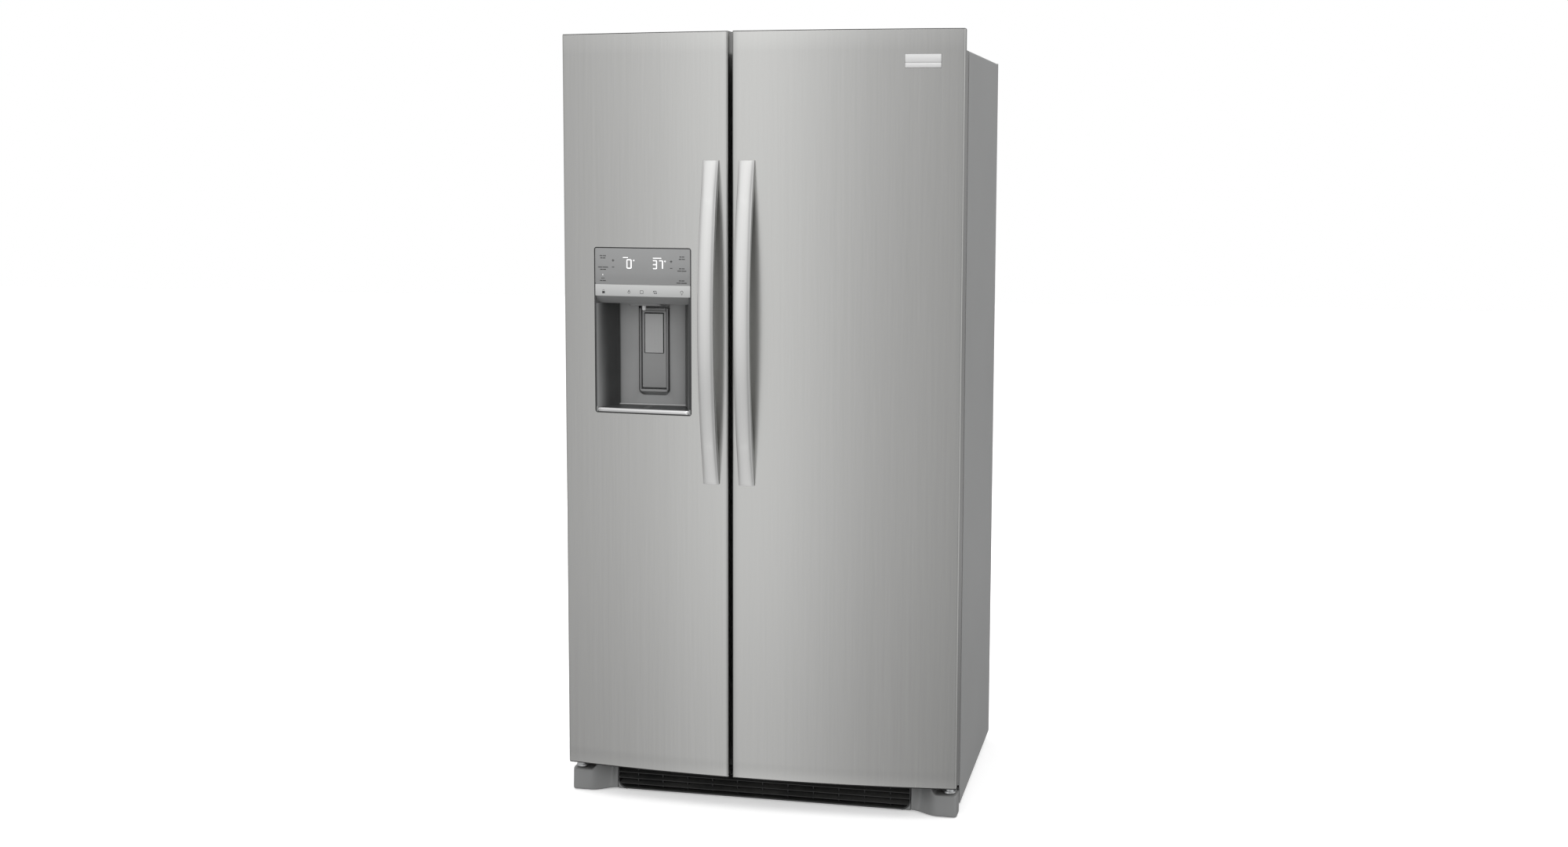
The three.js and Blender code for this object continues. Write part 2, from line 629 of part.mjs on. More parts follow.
function iceMaker() {
  const mould = cut(
    block(-370, -140, 40, 140, 1480, 1560),
    ...Array.from({ length: 7 }, (_, i) => block(-360 + 30 * i, -336 + 30 * i, 48, 132, 1530, 1561)),
  );
  const head = block(-141, -100, 30, 150, 1460, 1580);
  piece("ice_maker", join(mould, head), GRAY_PLASTIC);
}

function iceBin() {
  const bin = tray(-396, -106, -86, 280, 1122, 1400, 4);
  const outlet = block(AUGER.x - 25, AUGER.x + 25, -90, -78, AUGER.z - 25, AUGER.z + 25);
  const bearing = bar("y", [AUGER.x, 278, AUGER.z], 6, 10, 16);
  piece("ice_bin", cut(bin, outlet, bearing), CLEAR_PLASTIC);
}

function iceAuger() {
  let auger = bar("y", [AUGER.x, 108, AUGER.z], 5, 366, 10);
  const turns = 12;
  for (let i = 0; i < turns; i++) {
    const blade = block(-30, 30, -2, 2, -9, 9).rotate([0, i * 60, 0]);
    auger = join(auger, blade.translate([AUGER.x, -50 + i * 26, AUGER.z]));
  }
  piece("ice_auger", auger, ALUMINIUM);
}

// ---------------------------------------------------------------- cold and machine sides

function evaporator() {
  const [x0, x1, y0, y1, z0, z1] = [FREEZER.x0 + 12, FREEZER.x1 - 12, 276, 322, 460, 860];
  let coil = join(block(x0, x0 + 3, y0, y1, z0, z1), block(x1 - 3, x1, y0, y1, z0, z1));
  const rows = 7;
  for (let row = 0; row < rows; row++) {
    const z = z0 + 25 + row * ((z1 - z0 - 50) / (rows - 1));
    coil = join(coil, bar("x", [(x0 + x1) / 2, y0 + 23, z], 5, x1 - x0, 10));
    coil = join(coil, block(x0 + 20, x1 - 20, y0 + 2, y1 - 2, z - 1, z + 1));
  }
  piece("evaporator", coil, ALUMINIUM);
}

function evaporatorCover() {
  const [x0, x1] = [FREEZER.x0 + 1, FREEZER.x1 - 1];
  let cover = cut(
    block(x0, x1, 262, REAR_WALL - CLEAR, 300, 1105),
    block(x0 + 3, x1 - 3, 265, REAR_WALL + 5, 303, 1102),
  );
  for (let i = 0; i < 6; i++) {
    const z = 1000 + i * 14;
    cover = cut(cover, block(x0 + 60, x1 - 60, 250, 270, z, z + 6));
  }
  piece("evaporator_cover", cover, WHITE_PLASTIC);
}

function compressor() {
  const [x, y, z] = [-290, 270, 34];
  const profile = [[0, 0], [62, 0], [74, 14], [78, 60], [78, 95], [66, 130], [36, 150], [0, 154]];
  const shell = solid(
    new THREE.LatheGeometry(profile.map(([r, h]) => new THREE.Vector2(r, h)), 28).rotateX(Math.PI / 2),
  ).translate([x, y, z]);
  const feet = block(x - 95, x + 95, y - 60, y + 60, PAN_Z + 8, PAN_Z + 14);
  const grommets = [-1, 1].flatMap((i) =>
    [-1, 1].map((j) => bar("z", [x + i * 82, y + j * 48, PAN_Z + 5], 9, 9.4, 12)),
  );
  const terminal = block(x + 60, x + 96, y - 26, y + 26, z + 50, z + 100);
  piece("compressor", join(shell, feet, terminal, ...grommets), BLACK_PAINT);
}

function condenser() {
  const [x0, x1, y0] = [120, 400, 190];
  const levels = 6;
  const pitch = 28;
  let coil;
  for (let row = 0; row < 3; row++) {
    const y = y0 + row * 50;
    for (let i = 0; i < levels; i++) {
      const z = 64 + i * pitch;
      const run = bar("x", [(x0 + x1) / 2, y, z], 3.5, x1 - x0, 6);
      coil = coil ? join(coil, run) : run;
    }
    for (const x of [x0 + 30, x1 - 30]) {
      coil = join(coil, block(x - 1.5, x + 1.5, y - 6, y + 6, 56, 64 + (levels - 1) * pitch + 8));
    }
  }
  for (const x of [x0 + 30, x1 - 30]) coil = join(coil, block(x - 1.5, x + 1.5, y0, y0 + 100, 56, 62));
  piece("condenser", coil, BLACK_PAINT);
}

function drainPan() {
  piece("drain_pan", tray(115, 405, 178, 322, PAN_Z + 1, 48, 2), BLACK_PLASTIC);
}

const FAN = { x: 40, y: 262, z: 130, r: 66 };

function fanShroud() {
  const { x, y, z, r } = FAN;
  const plate = cut(
    block(x + 12, x + 15, y - 85, y + 85, PAN_Z + 1, 225),
    bar("x", [x + 13, y, z], r + 4, 20, 28),
  );
  const motor = bar("x", [x + 40, y, z], 24, 34, 16);
  const arms = [0, 120, 240].map((angle) =>
    block(-2, 2, -4, 4, 0, r + 10).rotate([angle, 0, 0]).translate([x + 25, y, z]),
  );
  const foot = arms.map((arm, i) => {
    const a = (i * 120 * Math.PI) / 180;
    const [dy, dz] = [-(r + 9) * Math.sin(a), (r + 9) * Math.cos(a)];
    return block(-14, 2, -5, 5, -3, 3).translate([x + 25, y + dy, z + dz]);
  });
  const shaft = bar("x", [x + 15, y, z], 3, 40, 12);
  piece("fan_shroud", join(plate, motor, shaft, ...arms, ...foot), BLACK_PLASTIC);
}

function condenserFan() {
  const { x, y, z, r } = FAN;
  let fan = bar("x", [x + 2, y, z], 15, 20, 16);
  for (let i = 0; i < 5; i++) {
    const blade = block(-1.5, 1.5, -17, 17, 10, r).rotate([0, 0, 35]);
    fan = join(fan, blade.rotate([i * 72, 0, 0]).translate([x + 2, y, z]));
  }
  piece("condenser_fan", cut(fan, bar("x", [x, y, z], 3.5, 60, 12)), DARK_PLASTIC);
}

const GLAND = { x: -380, z: 150 };

function rearCover() {
  const [y0, y1] = [BACK - 3.4, BACK - SHEET - CLEAR];
  let cover = block(-SIDE + 12, SIDE - 12, y0, y1, SIDE_BOTTOM + 9, MACHINE.top - 2);
  for (let column = 0; column < 6; column++) {
    for (let row = 0; row < 6; row++) {
      const [x, z] = [-200 + column * 110, 60 + row * 28];
      cover = cut(cover, block(x - 42, x + 42, y0 - 1, y1 + 1, z - 5, z + 5));
    }
  }
  piece("rear_cover", cut(cover, bar("y", [GLAND.x, BACK - 2, GLAND.z], 9, 10, 16)), ZINC);
}

function cordGland() {
  const body = join(
    bar("y", [GLAND.x, BACK - 6, GLAND.z], 8.6, 10, 16),
    bar("y", [GLAND.x, BACK - 8, GLAND.z], 13, 8, 16),
  );
  piece("cord_gland", cut(body, bar("y", [GLAND.x, BACK - 6, GLAND.z], 4, 30, 12)), BLACK_PLASTIC);
}

// ---------------------------------------------------------------- assembly

cabinetShell();
liner("freezer_liner", FREEZER);
liner("fridge_liner", FRIDGE);
basePan();
for (const [label, side] of [["left", -1], ["right", 1]]) {
  roller(`roller_${label}`, side);
  levellingLeg(`levelling_leg_${label}`, side);
  footCover(`foot_cover_${label}`, side);
  lowerHinge(`lower_hinge_${label}`, side);
  upperHinge(`upper_hinge_${label}`, side);
  hingeCover(`hinge_cover_${label}`, side);
}
toeGrille();

const bezelHole = block(DISPENSER.x0, DISPENSER.x1, -400, 0, DISPENSER.z0, DISPENSER.z1);
doorSkin("freezer_door_skin", FREEZER_DOOR, bezelHole);
doorSkin("fridge_door_skin", FRIDGE_DOOR);
const duct = block(DISPENSER.x0 - 6, DISPENSER.x1 + 6, DOOR_REAR - 5, HOUSING_REAR + 12, 890, 1298);
const pocket = block(DISPENSER.x0, DISPENSER.x1, -400, HOUSING_REAR + 0.5, DISPENSER.z0, DISPENSER.z1);
piece("freezer_inner_door", cut(join(innerDoor(FREEZER_DOOR), duct), pocket), WHITE_PLASTIC);
const [dairyOuter, dairyInner] = dairyBox();
piece("fridge_inner_door", cut(join(innerDoor(FRIDGE_DOOR), dairyOuter), dairyInner), WHITE_PLASTIC);
gasket("freezer_gasket", -SIDE + 22, FREEZER_DOOR_EDGE - 8);
gasket("fridge_gasket", FRIDGE_DOOR_EDGE + 8, SIDE - 22);
handle("freezer_handle", -101);
handle("fridge_handle", -19);
badge();

dispenserHousing();
displayPanel();
dispenserPaddle();
spout();
dripTray();

[150, 520, 1360].forEach((z, i) => doorBin(`freezer_bin_${i + 1}`, FREEZER_DOOR, z, 120));
[150, 590, 1030].forEach((z, i) => doorBin(`fridge_bin_${i + 1}`, FRIDGE_DOOR, z, 130));
dairyLid();

glassShelf("fridge_shelf_upper", 1290, FRIDGE, 320);
glassShelf("fridge_shelf_middle", 960, FRIDGE, 320);
glassShelf("crisper_cover", 590, FRIDGE, 320);
drawer("crisper_upper", FRIDGE, 300, 352, 560, CLEAR_PLASTIC);
drawer("crisper_lower", FRIDGE, STEP_Y - 8, 116, 336, CLEAR_PLASTIC);
wireShelf("freezer_shelf_upper", 1118, FREEZER, 258);
wireShelf("freezer_shelf_lower", 740, FREEZER, 258);
drawer("freezer_basket", FREEZER, 250, 352, 560, WHITE_PLASTIC);
iceMaker();
iceBin();
iceAuger();
evaporator();
evaporatorCover();

compressor();
condenser();
drainPan();
fanShroud();
condenserFan();
rearCover();
cordGland();

export default refrigerator;
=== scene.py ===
# The looks of a side by side refrigerator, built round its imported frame. Metres; -Y is the front, +Z is up,
# and the origin is on the floor under the middle. Sections follow the order in which the object goes together.
import math

import bmesh
import bpy
import numpy as np
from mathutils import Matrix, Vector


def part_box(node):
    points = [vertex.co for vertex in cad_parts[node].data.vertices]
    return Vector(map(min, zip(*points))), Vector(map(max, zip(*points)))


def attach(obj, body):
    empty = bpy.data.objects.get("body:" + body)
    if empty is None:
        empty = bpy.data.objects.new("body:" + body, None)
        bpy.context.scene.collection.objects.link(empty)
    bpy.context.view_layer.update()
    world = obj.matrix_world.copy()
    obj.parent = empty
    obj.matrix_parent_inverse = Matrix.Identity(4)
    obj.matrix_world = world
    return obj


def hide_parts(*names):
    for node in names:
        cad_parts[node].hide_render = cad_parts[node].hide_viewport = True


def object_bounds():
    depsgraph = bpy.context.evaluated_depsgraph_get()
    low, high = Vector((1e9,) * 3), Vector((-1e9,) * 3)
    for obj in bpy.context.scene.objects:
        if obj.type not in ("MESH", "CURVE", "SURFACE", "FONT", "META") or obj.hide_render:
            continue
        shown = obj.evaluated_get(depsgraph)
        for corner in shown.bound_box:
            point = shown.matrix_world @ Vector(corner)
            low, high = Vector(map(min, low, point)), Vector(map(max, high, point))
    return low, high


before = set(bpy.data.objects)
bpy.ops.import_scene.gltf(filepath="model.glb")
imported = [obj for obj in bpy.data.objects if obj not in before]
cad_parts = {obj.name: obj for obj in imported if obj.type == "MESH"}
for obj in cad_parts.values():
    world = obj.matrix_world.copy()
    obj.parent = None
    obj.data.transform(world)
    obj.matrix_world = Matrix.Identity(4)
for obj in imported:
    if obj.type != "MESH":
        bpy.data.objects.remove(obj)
cad_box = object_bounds()
MM = 0.001


# ---------------------------------------------------------------- the camera
# A long lens, right of the middle and about eye height, turned a little to the left and tipped slightly down.

camera_data = bpy.data.cameras.new("camera")
camera_data.sensor_width = 36.0
camera_data.lens = 44.91
camera_data.shift_x = 0.027
camera_data.shift_y = -0.025
camera_data.clip_end = 60.0
camera = bpy.data.objects.new("camera", camera_data)
bpy.context.scene.collection.objects.link(camera)
camera.location = (0.977, -4.544, 1.474)
camera.rotation_euler = (math.radians(90 - 6.48), 0.0, math.radians(13.43))
bpy.context.scene.camera = camera


# ---------------------------------------------------------------- painted cabinet
# One folded steel sheet makes the two sides and the top, with soft bends along its upper edges. It is powder
# coated in a mid gray that has a fine orange peel. A pressed frame closes the front round both openings.


def texture_group(name, *inputs):
    """A node group with the inputs given as (name, socket type, value) and two outputs, Mask and Height."""
    group = bpy.data.node_groups.new(name, "ShaderNodeTree")
    for label, kind, value in inputs:
        group.interface.new_socket(label, in_out="INPUT", socket_type=kind).default_value = value
    for label in ("Mask", "Height"):
        group.interface.new_socket(label, in_out="OUTPUT", socket_type="NodeSocketFloat")
    return group, group.nodes.new("NodeGroupInput"), group.nodes.new("NodeGroupOutput")


def add_node(tree, kind, settings=None, **values):
    """One shader node: settings are its own properties, values its sockets by name, numbers or links."""
    node = tree.nodes.new(kind)
    for key, value in (settings or {}).items():
        setattr(node, key, value)
    for key, value in values.items():
        socket = node.inputs[key.replace("_", " ")] if not key.startswith("i") else node.inputs[int(key[1:])]
        if isinstance(value, bpy.types.NodeSocket):
            tree.links.new(value, socket)
        else:
            socket.default_value = value
    return node


def noise(tree, vector, scale, detail=3.0, roughness=0.55):
    """A noise texture's value, from 0 to 1."""
    node = add_node(tree, "ShaderNodeTexNoise", Vector=vector, Scale=scale, Detail=detail, Roughness=roughness)
    return node.outputs["Fac"]


def arithmetic(tree, operation, a, b=0.0, clamp=False):
    """One Math node on two values."""
    return add_node(tree, "ShaderNodeMath", {"operation": operation, "use_clamp": clamp}, i0=a, i1=b).outputs[0]


def weighted(tree, a, share_a, b, share_b, clamp=False):
    """Two values, each times its share, added."""
    first, second = arithmetic(tree, "MULTIPLY", a, share_a), arithmetic(tree, "MULTIPLY", b, share_b)
    return arithmetic(tree, "ADD", first, second, clamp)


def stretched(tree, vector, factors):
    """Object coordinates multiplied by a vector, so that a pattern is drawn out along one axis."""
    node = add_node(tree, "ShaderNodeVectorMath", {"operation": "MULTIPLY"}, i0=vector, i1=factors)
    return node.outputs[0]


def object_place(tree):
    """The piece's own coordinates, in metres from the floor's middle."""
    return add_node(tree, "ShaderNodeTexCoord").outputs["Object"]


def paint_peel_group():
    """Orange peel: two close noises for the height, and a broad one that mottles the tone."""
    group, given, out = texture_group("paint peel", ("Scale", "NodeSocketFloat", 420.0))
    place = object_place(group)
    fine = noise(group, place, given.outputs["Scale"], 2.0)
    broad = noise(group, place, 5.0, 4.0, 0.65)
    group.links.new(broad, out.inputs["Mask"])
    group.links.new(fine, out.inputs["Height"])
    return group


PAINT_PEEL = paint_peel_group()


def dust_group():
    """Dust that has settled: it lies where the surface faces up, broken up by noise."""
    group, given, out = texture_group("settled dust", ("Amount", "NodeSocketFloat", 0.3))
    normal = add_node(group, "ShaderNodeNewGeometry").outputs["Normal"]
    up = add_node(group, "ShaderNodeSeparateXYZ", Vector=normal)
    facing = add_node(group, "ShaderNodeMapRange", Value=up.outputs["Z"], From_Min=0.5, From_Max=1.0)
    patches = noise(group, object_place(group), 14.0, 6.0, 0.7)
    soft = add_node(group, "ShaderNodeMapRange", Value=patches, From_Min=0.3, From_Max=0.75)
    both = arithmetic(group, "MULTIPLY", facing.outputs[0], soft.outputs[0])
    group.links.new(arithmetic(group, "MULTIPLY", both, given.outputs["Amount"]), out.inputs["Mask"])
    group.links.new(patches, out.inputs["Height"])
    return group


DUST = dust_group()
DUST_TONE = (0.52, 0.5, 0.46, 1.0)


def finish(name, group, tones, roughness, metallic=0.0, bump=0.1, grain=None, dust=0.0, **sockets):
    """A finish: the group's Mask runs the colour between two tones and the roughness between two values, and
    its Height is a bump of `bump` strength. Dust is mixed over the colour. Other sockets are set directly."""
    material = bpy.data.materials.new(name)
    material.use_nodes = True
    tree = material.node_tree
    shader = tree.nodes["Principled BSDF"]
    pattern = add_node(tree, "ShaderNodeGroup", {"node_tree": group})
    for key, value in (grain or {}).items():
        pattern.inputs[key].default_value = value
    mask = pattern.outputs["Mask"]
    tone = add_node(
        tree, "ShaderNodeMix", {"data_type": "RGBA"},
        i0=mask, i6=(*tones[0], 1.0), i7=(*tones[1], 1.0),
    ).outputs[2]
    if dust:
        layer = add_node(tree, "ShaderNodeGroup", {"node_tree": DUST})
        layer.inputs["Amount"].default_value = dust
        tone = add_node(
            tree, "ShaderNodeMix", {"data_type": "RGBA"}, i0=layer.outputs["Mask"], i6=tone, i7=DUST_TONE,
        ).outputs[2]
    tree.links.new(tone, shader.inputs["Base Color"])
    rough = add_node(tree, "ShaderNodeMapRange", Value=mask, To_Min=roughness[0], To_Max=roughness[1])
    tree.links.new(rough.outputs[0], shader.inputs["Roughness"])
    relief = add_node(tree, "ShaderNodeBump", Height=pattern.outputs["Height"], Strength=bump, Distance=0.0004)
    tree.links.new(relief.outputs[0], shader.inputs["Normal"])
    shader.inputs["Metallic"].default_value = metallic
    for key, value in sockets.items():
        shader.inputs[key.replace("_", " ")].default_value = value
    return material


cabinet_paint = finish(
    "cabinet paint", PAINT_PEEL, [(0.345, 0.349, 0.348), (0.39, 0.394, 0.393)], (0.4, 0.48),
    metallic=0.15, bump=0.25, dust=0.25, Coat_Weight=0.1,
)


def mesh_of(name, points, faces, closed=True):
    """A mesh from an array of points and a list of faces. On a closed one all faces are turned outwards."""
    mesh = bpy.data.meshes.new(name)
    mesh.from_pydata(np.asarray(points, float).reshape(-1, 3).tolist(), [], [list(map(int, f)) for f in faces])
    if closed:
        work = bmesh.new()
        work.from_mesh(mesh)
        bmesh.ops.recalc_face_normals(work, faces=work.faces)
        work.to_mesh(mesh)
        work.free()
    mesh.update()
    return mesh


def built(name, points, faces, material, body, slot, replaced=(), smooth=True, angle=32.0, closed=True):
    """A mesh piece riding on its body. Edges sharper than the angle stay crisp."""
    mesh = mesh_of(name, points, faces, closed)
    thing = bpy.data.objects.new(name, mesh)
    bpy.context.scene.collection.objects.link(thing)
    mesh.materials.append(material)
    if smooth:
        mesh.shade_smooth()
        mesh.set_sharp_from_angle(angle=math.radians(angle))
    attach(thing, body)
    if replaced:
        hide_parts(*replaced)
    return thing


def loop_faces(rings, around, closed=True):
    """Quads between `rings` rows of `around` points each; a closed row joins its last point to its first."""
    row = np.arange(rings - 1)[:, None] * around
    step = np.arange(around if closed else around - 1)[None, :]
    nxt = (step + 1) % around
    quads = np.stack([row + step, row + nxt, row + nxt + around, row + step + around], -1)
    return quads.reshape(-1, 4)


def stacked(loops):
    """Points and faces of a closed solid through equal closed loops, with the first and last loop filled.
    The loops run anticlockwise seen from the last one, so that the sides face outwards."""
    loops = np.asarray(loops, float)
    rings, around, _ = loops.shape
    sides = loop_faces(rings, around).tolist()
    first = list(range(around))[::-1]
    last = [(rings - 1) * around + i for i in range(around)]
    return loops.reshape(-1, 3), sides + [first, last]


def round_rect(width, height, radius, per_corner=5):
    """A closed loop round a rectangle centred on 0: each corner is a quarter circle of the radius."""
    turn = np.linspace(0, math.pi / 2, per_corner)
    corners = []
    for k, (sx, sy) in enumerate([(1, 1), (-1, 1), (-1, -1), (1, -1)]):
        a = turn + k * math.pi / 2
        centre = np.array([sx * (width / 2 - radius), sy * (height / 2 - radius)])
        corners.append(centre + radius * np.stack([np.cos(a), np.sin(a)], -1))
    return np.concatenate(corners)


def rounded_block(low, high, edge, corner=None, axis=2):
    """A block between two corners with its upright edges rounded to `corner` and its rims eased by `edge`: a
    stack of round rectangles drawn in by edge*(1-sin t) at each end."""
    low, high = np.asarray(low, float), np.asarray(high, float)
    corner = max(corner or edge, edge)
    order = [(1, 2, 0), (2, 0, 1), (0, 1, 2)][axis]
    a, b, c = order
    size = high - low
    centre = (high + low) / 2
    turn = np.linspace(0, math.pi / 2, 4)
    inset = np.concatenate([edge * (1 - np.sin(turn)), edge * (1 - np.cos(turn))])
    lift = np.concatenate([edge * (1 - np.cos(turn)), size[c] - edge + edge * np.sin(turn)])
    loops = []
    for d, h in zip(inset, lift):
        flat = round_rect(size[a] - 2 * d, size[b] - 2 * d, max(corner - d, 1e-5))
        points = np.zeros((len(flat), 3))
        points[:, a] = flat[:, 0] + centre[a]
        points[:, b] = flat[:, 1] + centre[b]
        points[:, c] = low[c] + h
        loops.append(points)
    return stacked(loops)


def gathered(*solids):
    """Several solids as one set of points and faces."""
    points, faces, start = [], [], 0
    for p, f in solids:
        points.append(np.asarray(p, float).reshape(-1, 3))
        faces += [[start + i for i in face] for face in f]
        start += len(points[-1])
    return np.concatenate(points), faces


SIDE = cad_box[1].x
DEPTH_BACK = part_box("back_panel")[1].y
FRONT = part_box("cabinet_wrapper")[0].y
CABINET_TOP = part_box("cabinet_wrapper")[1].z
SIDE_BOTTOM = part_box("cabinet_wrapper")[0].z
SHEET = 1.2 * MM


def arch_strip(half, bottom, top, radius, thickness):
    """The closed outline, seen from the front, of a sheet bent over two sides and a top: the outer bend is a
    quarter circle of the radius, and the inner one is less by the thickness."""
    turn = np.linspace(0, math.pi / 2, 9)
    right = np.stack([half - radius + radius * np.cos(turn), top - radius + radius * np.sin(turn)], -1)
    outer = np.concatenate([[[half, bottom]], right, right[::-1] * [-1, 1], [[-half, bottom]]])
    r = radius - thickness
    inner_right = np.stack([half - radius + r * np.cos(turn), top - radius + r * np.sin(turn)], -1)
    inner = np.concatenate(
        [[[half - thickness, bottom]], inner_right, inner_right[::-1] * [-1, 1], [[-half + thickness, bottom]]]
    )
    return np.concatenate([outer, inner[::-1]])


def along_y(flat, ys):
    """Loops of an outline in front view (x, z) at each y, in the order that faces outwards."""
    flat = np.asarray(flat)[::-1]
    loops = np.zeros((len(ys), len(flat), 3))
    loops[:, :, 0], loops[:, :, 2] = flat[:, 0], flat[:, 1]
    loops[:, :, 1] = np.asarray(ys)[:, None]
    return loops


def as_cross_strips(loops):
    """A closed solid from loops that are thin strips: the ends are filled with quads across the strip."""
    loops = np.asarray(loops)
    rings, around, _ = loops.shape
    half = around // 2
    sides = loop_faces(rings, around).tolist()
    i = np.arange(half - 1)
    near = np.stack([i, around - 1 - i, around - 2 - i, i + 1], -1)
    far = np.stack([i, i + 1, around - 2 - i, around - 1 - i], -1) + (rings - 1) * around
    return loops.reshape(-1, 3), sides + near.tolist() + far.tolist()


wrapper_strip = arch_strip(SIDE, SIDE_BOTTOM, CABINET_TOP, 5 * MM, SHEET)
wrapper_ys = np.linspace(FRONT + 0.5 * MM, DEPTH_BACK - 2 * MM, 6)
built(
    "cabinet_sides_and_top", *as_cross_strips(along_y(wrapper_strip, wrapper_ys)),
    cabinet_paint, "cabinet", "gray_paint", replaced=["cabinet_wrapper"],
)

freezer_low, freezer_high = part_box("freezer_liner")
fridge_low, fridge_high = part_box("fridge_liner")
WALL = 1.5 * MM
OPENING_Z = (freezer_low.z + WALL, freezer_high.z - WALL)
FREEZER_X = (freezer_low.x + WALL, freezer_high.x - WALL)
FRIDGE_X = (fridge_low.x + WALL, fridge_high.x - WALL)


def front_frame():
    """The pressed frame: flat bars between the outer edge and the two openings, each with eased edges."""
    y = (FRONT, FRONT + SHEET)
    inner = SIDE - SHEET - 0.2 * MM
    bottom = 62 * MM
    top = CABINET_TOP - SHEET - 0.2 * MM
    bars = [
        ((-inner, bottom), (FREEZER_X[0], top)),
        ((FREEZER_X[1], bottom), (FRIDGE_X[0], top)),
        ((FRIDGE_X[1], bottom), (inner, top)),
    ]
    for x0, x1 in (FREEZER_X, FRIDGE_X):
        bars.append(((x0, bottom), (x1, OPENING_Z[0])))
        bars.append(((x0, OPENING_Z[1]), (x1, top)))
    solids = [
        rounded_block((x0, y[0], z0), (x1, y[1], z1), 0.3 * MM, axis=1) for (x0, z0), (x1, z1) in bars
    ]
    return gathered(*solids)


built("front_frame", *front_frame(), cabinet_paint, "cabinet", "gray_paint")


# ---------------------------------------------------------------- bowed doors
# Each door is a stainless sheet wrapped round a foamed core: a shallow crown across the pair, tight bends at the
# upright edges, and a raised rim above the hinge ledge. The steel is brushed from top to bottom.


def brushed_group():
    """Brushing: noise drawn out along the Grain vector, in a fine and a coarser set of streaks, over slow
    changes of tone."""
    group, given, out = texture_group("brushed grain", ("Grain", "NodeSocketVector", (1.0, 1.0, 0.02)))
    along = stretched(group, object_place(group), given.outputs["Grain"])
    fine = noise(group, along, 900.0, 2.0, 0.6)
    coarse = noise(group, along, 160.0, 3.0, 0.6)
    slow = noise(group, along, 7.0, 2.0, 0.5)
    streaks = weighted(group, fine, 0.5, coarse, 0.5)
    tone = weighted(group, streaks, 0.7, slow, 0.3)
    group.links.new(tone, out.inputs["Mask"])
    group.links.new(streaks, out.inputs["Height"])
    return group


BRUSHED = brushed_group()
door_steel = finish(
    "door stainless", BRUSHED, [(0.50, 0.50, 0.49), (0.62, 0.62, 0.608)], (0.22, 0.3),
    metallic=1.0, bump=0.05, grain={"Grain": (1.0, 1.0, 0.012)}, Anisotropic=0.3,
)

DOOR_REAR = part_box("freezer_gasket")[0].y - 0.3 * MM
DOOR_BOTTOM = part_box("freezer_door_skin")[0].z
DOOR_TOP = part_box("freezer_door_skin")[1].z
EDGE_FRONT = DOOR_REAR - 59 * MM
CROWN = EDGE_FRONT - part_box("fridge_door_skin")[0].y
RIM_BASE = 1714 * MM
RIM_REAR = EDGE_FRONT + 26 * MM
BEND = 4 * MM
DOORS = {
    "freezer": (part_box("freezer_door_skin")[0].x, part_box("freezer_door_skin")[1].x),
    "fridge": (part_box("fridge_door_skin")[0].x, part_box("fridge_door_skin")[1].x),
}


def bowed(x):
    """The front surface over both doors: a parabola that falls from the crown to the outer edges."""
    return EDGE_FRONT - CROWN * (1 - (np.asarray(x) / SIDE) ** 2)


def door_plan(x0, x1, inset, rear, columns=44):
    """The open outline of the skin in plan, from one rear edge round the front to the other: straight sides,
    quarter-circle bends and the bowed front, all drawn in by the inset."""
    a, b = x0 + inset, x1 - inset
    bend = max(BEND - inset, 0.3 * MM)
    turn = np.linspace(0, math.pi / 2, 6)
    left_y, right_y = bowed(a + bend) + inset, bowed(b - bend) + inset
    left = np.stack([a + bend - bend * np.cos(turn), left_y + bend - bend * np.sin(turn)], -1)
    right = np.stack([b - bend + bend * np.sin(turn), right_y + bend - bend * np.cos(turn)], -1)
    xs = np.linspace(a + bend, b - bend, columns)[1:-1]
    front = np.stack([xs, bowed(xs) + inset], -1)
    hem = 9 * MM
    rows = [[a + hem, rear], [a + 0.5 * MM, rear], [a, rear - 0.5 * MM]]
    ends = [[b, rear - 0.5 * MM], [b - 0.5 * MM, rear], [b - hem, rear]]
    side_left = [[a, rear + (left[0, 1] - rear) * t] for t in (0.35, 0.7)]
    side_right = [[b, rear + (right[-1, 1] - rear) * t] for t in (0.7, 0.35)]
    return np.concatenate([rows, side_left, left, front, right, side_right, ends])


def door_skin_surface(x0, x1):
    """Rows of the plan outline from the bottom hem to the top hem: the sheet turns in through a quarter circle
    at each end, and its sides stop short above the hinge ledge."""
    turn = np.linspace(0, math.pi / 2, 4)
    r = 0.8 * MM
    hem = 22 * MM
    low, high = DOOR_BOTTOM + 2.2 * MM, DOOR_TOP - 1.4 * MM
    rows = [(low, hem, DOOR_REAR), (low, r, DOOR_REAR)]
    rows += [(low + r * (1 - math.cos(t)), r * (1 - math.sin(t)), DOOR_REAR) for t in turn[1:]]
    rows += [(z, 0.0, DOOR_REAR) for z in np.linspace(DOOR_BOTTOM + 40 * MM, RIM_BASE - 2 * MM, 24)]
    rows += [(RIM_BASE, 0.0, DOOR_REAR - 2 * MM), (RIM_BASE + 0.5 * MM, 0.0, RIM_REAR)]
    rows += [(high - r + r * math.sin(t), r * (1 - math.cos(t)), RIM_REAR) for t in turn]
    rows += [(high, hem, RIM_REAR)]
    grid = []
    for z, inset, rear in rows:
        plan = door_plan(x0, x1, inset, rear)
        grid.append(np.column_stack([plan, np.full(len(plan), z)]))
    grid = np.array(grid)
    return grid.reshape(-1, 3), loop_faces(len(rows), grid.shape[1], closed=False)


def thickened(thing, thickness):
    """Gives an open sheet its thickness, inwards, as part of the mesh."""
    solidify = thing.modifiers.new("thickness", "SOLIDIFY")
    solidify.thickness = thickness
    solidify.offset = -1.0
    solidify.use_even_offset = False
    return thing


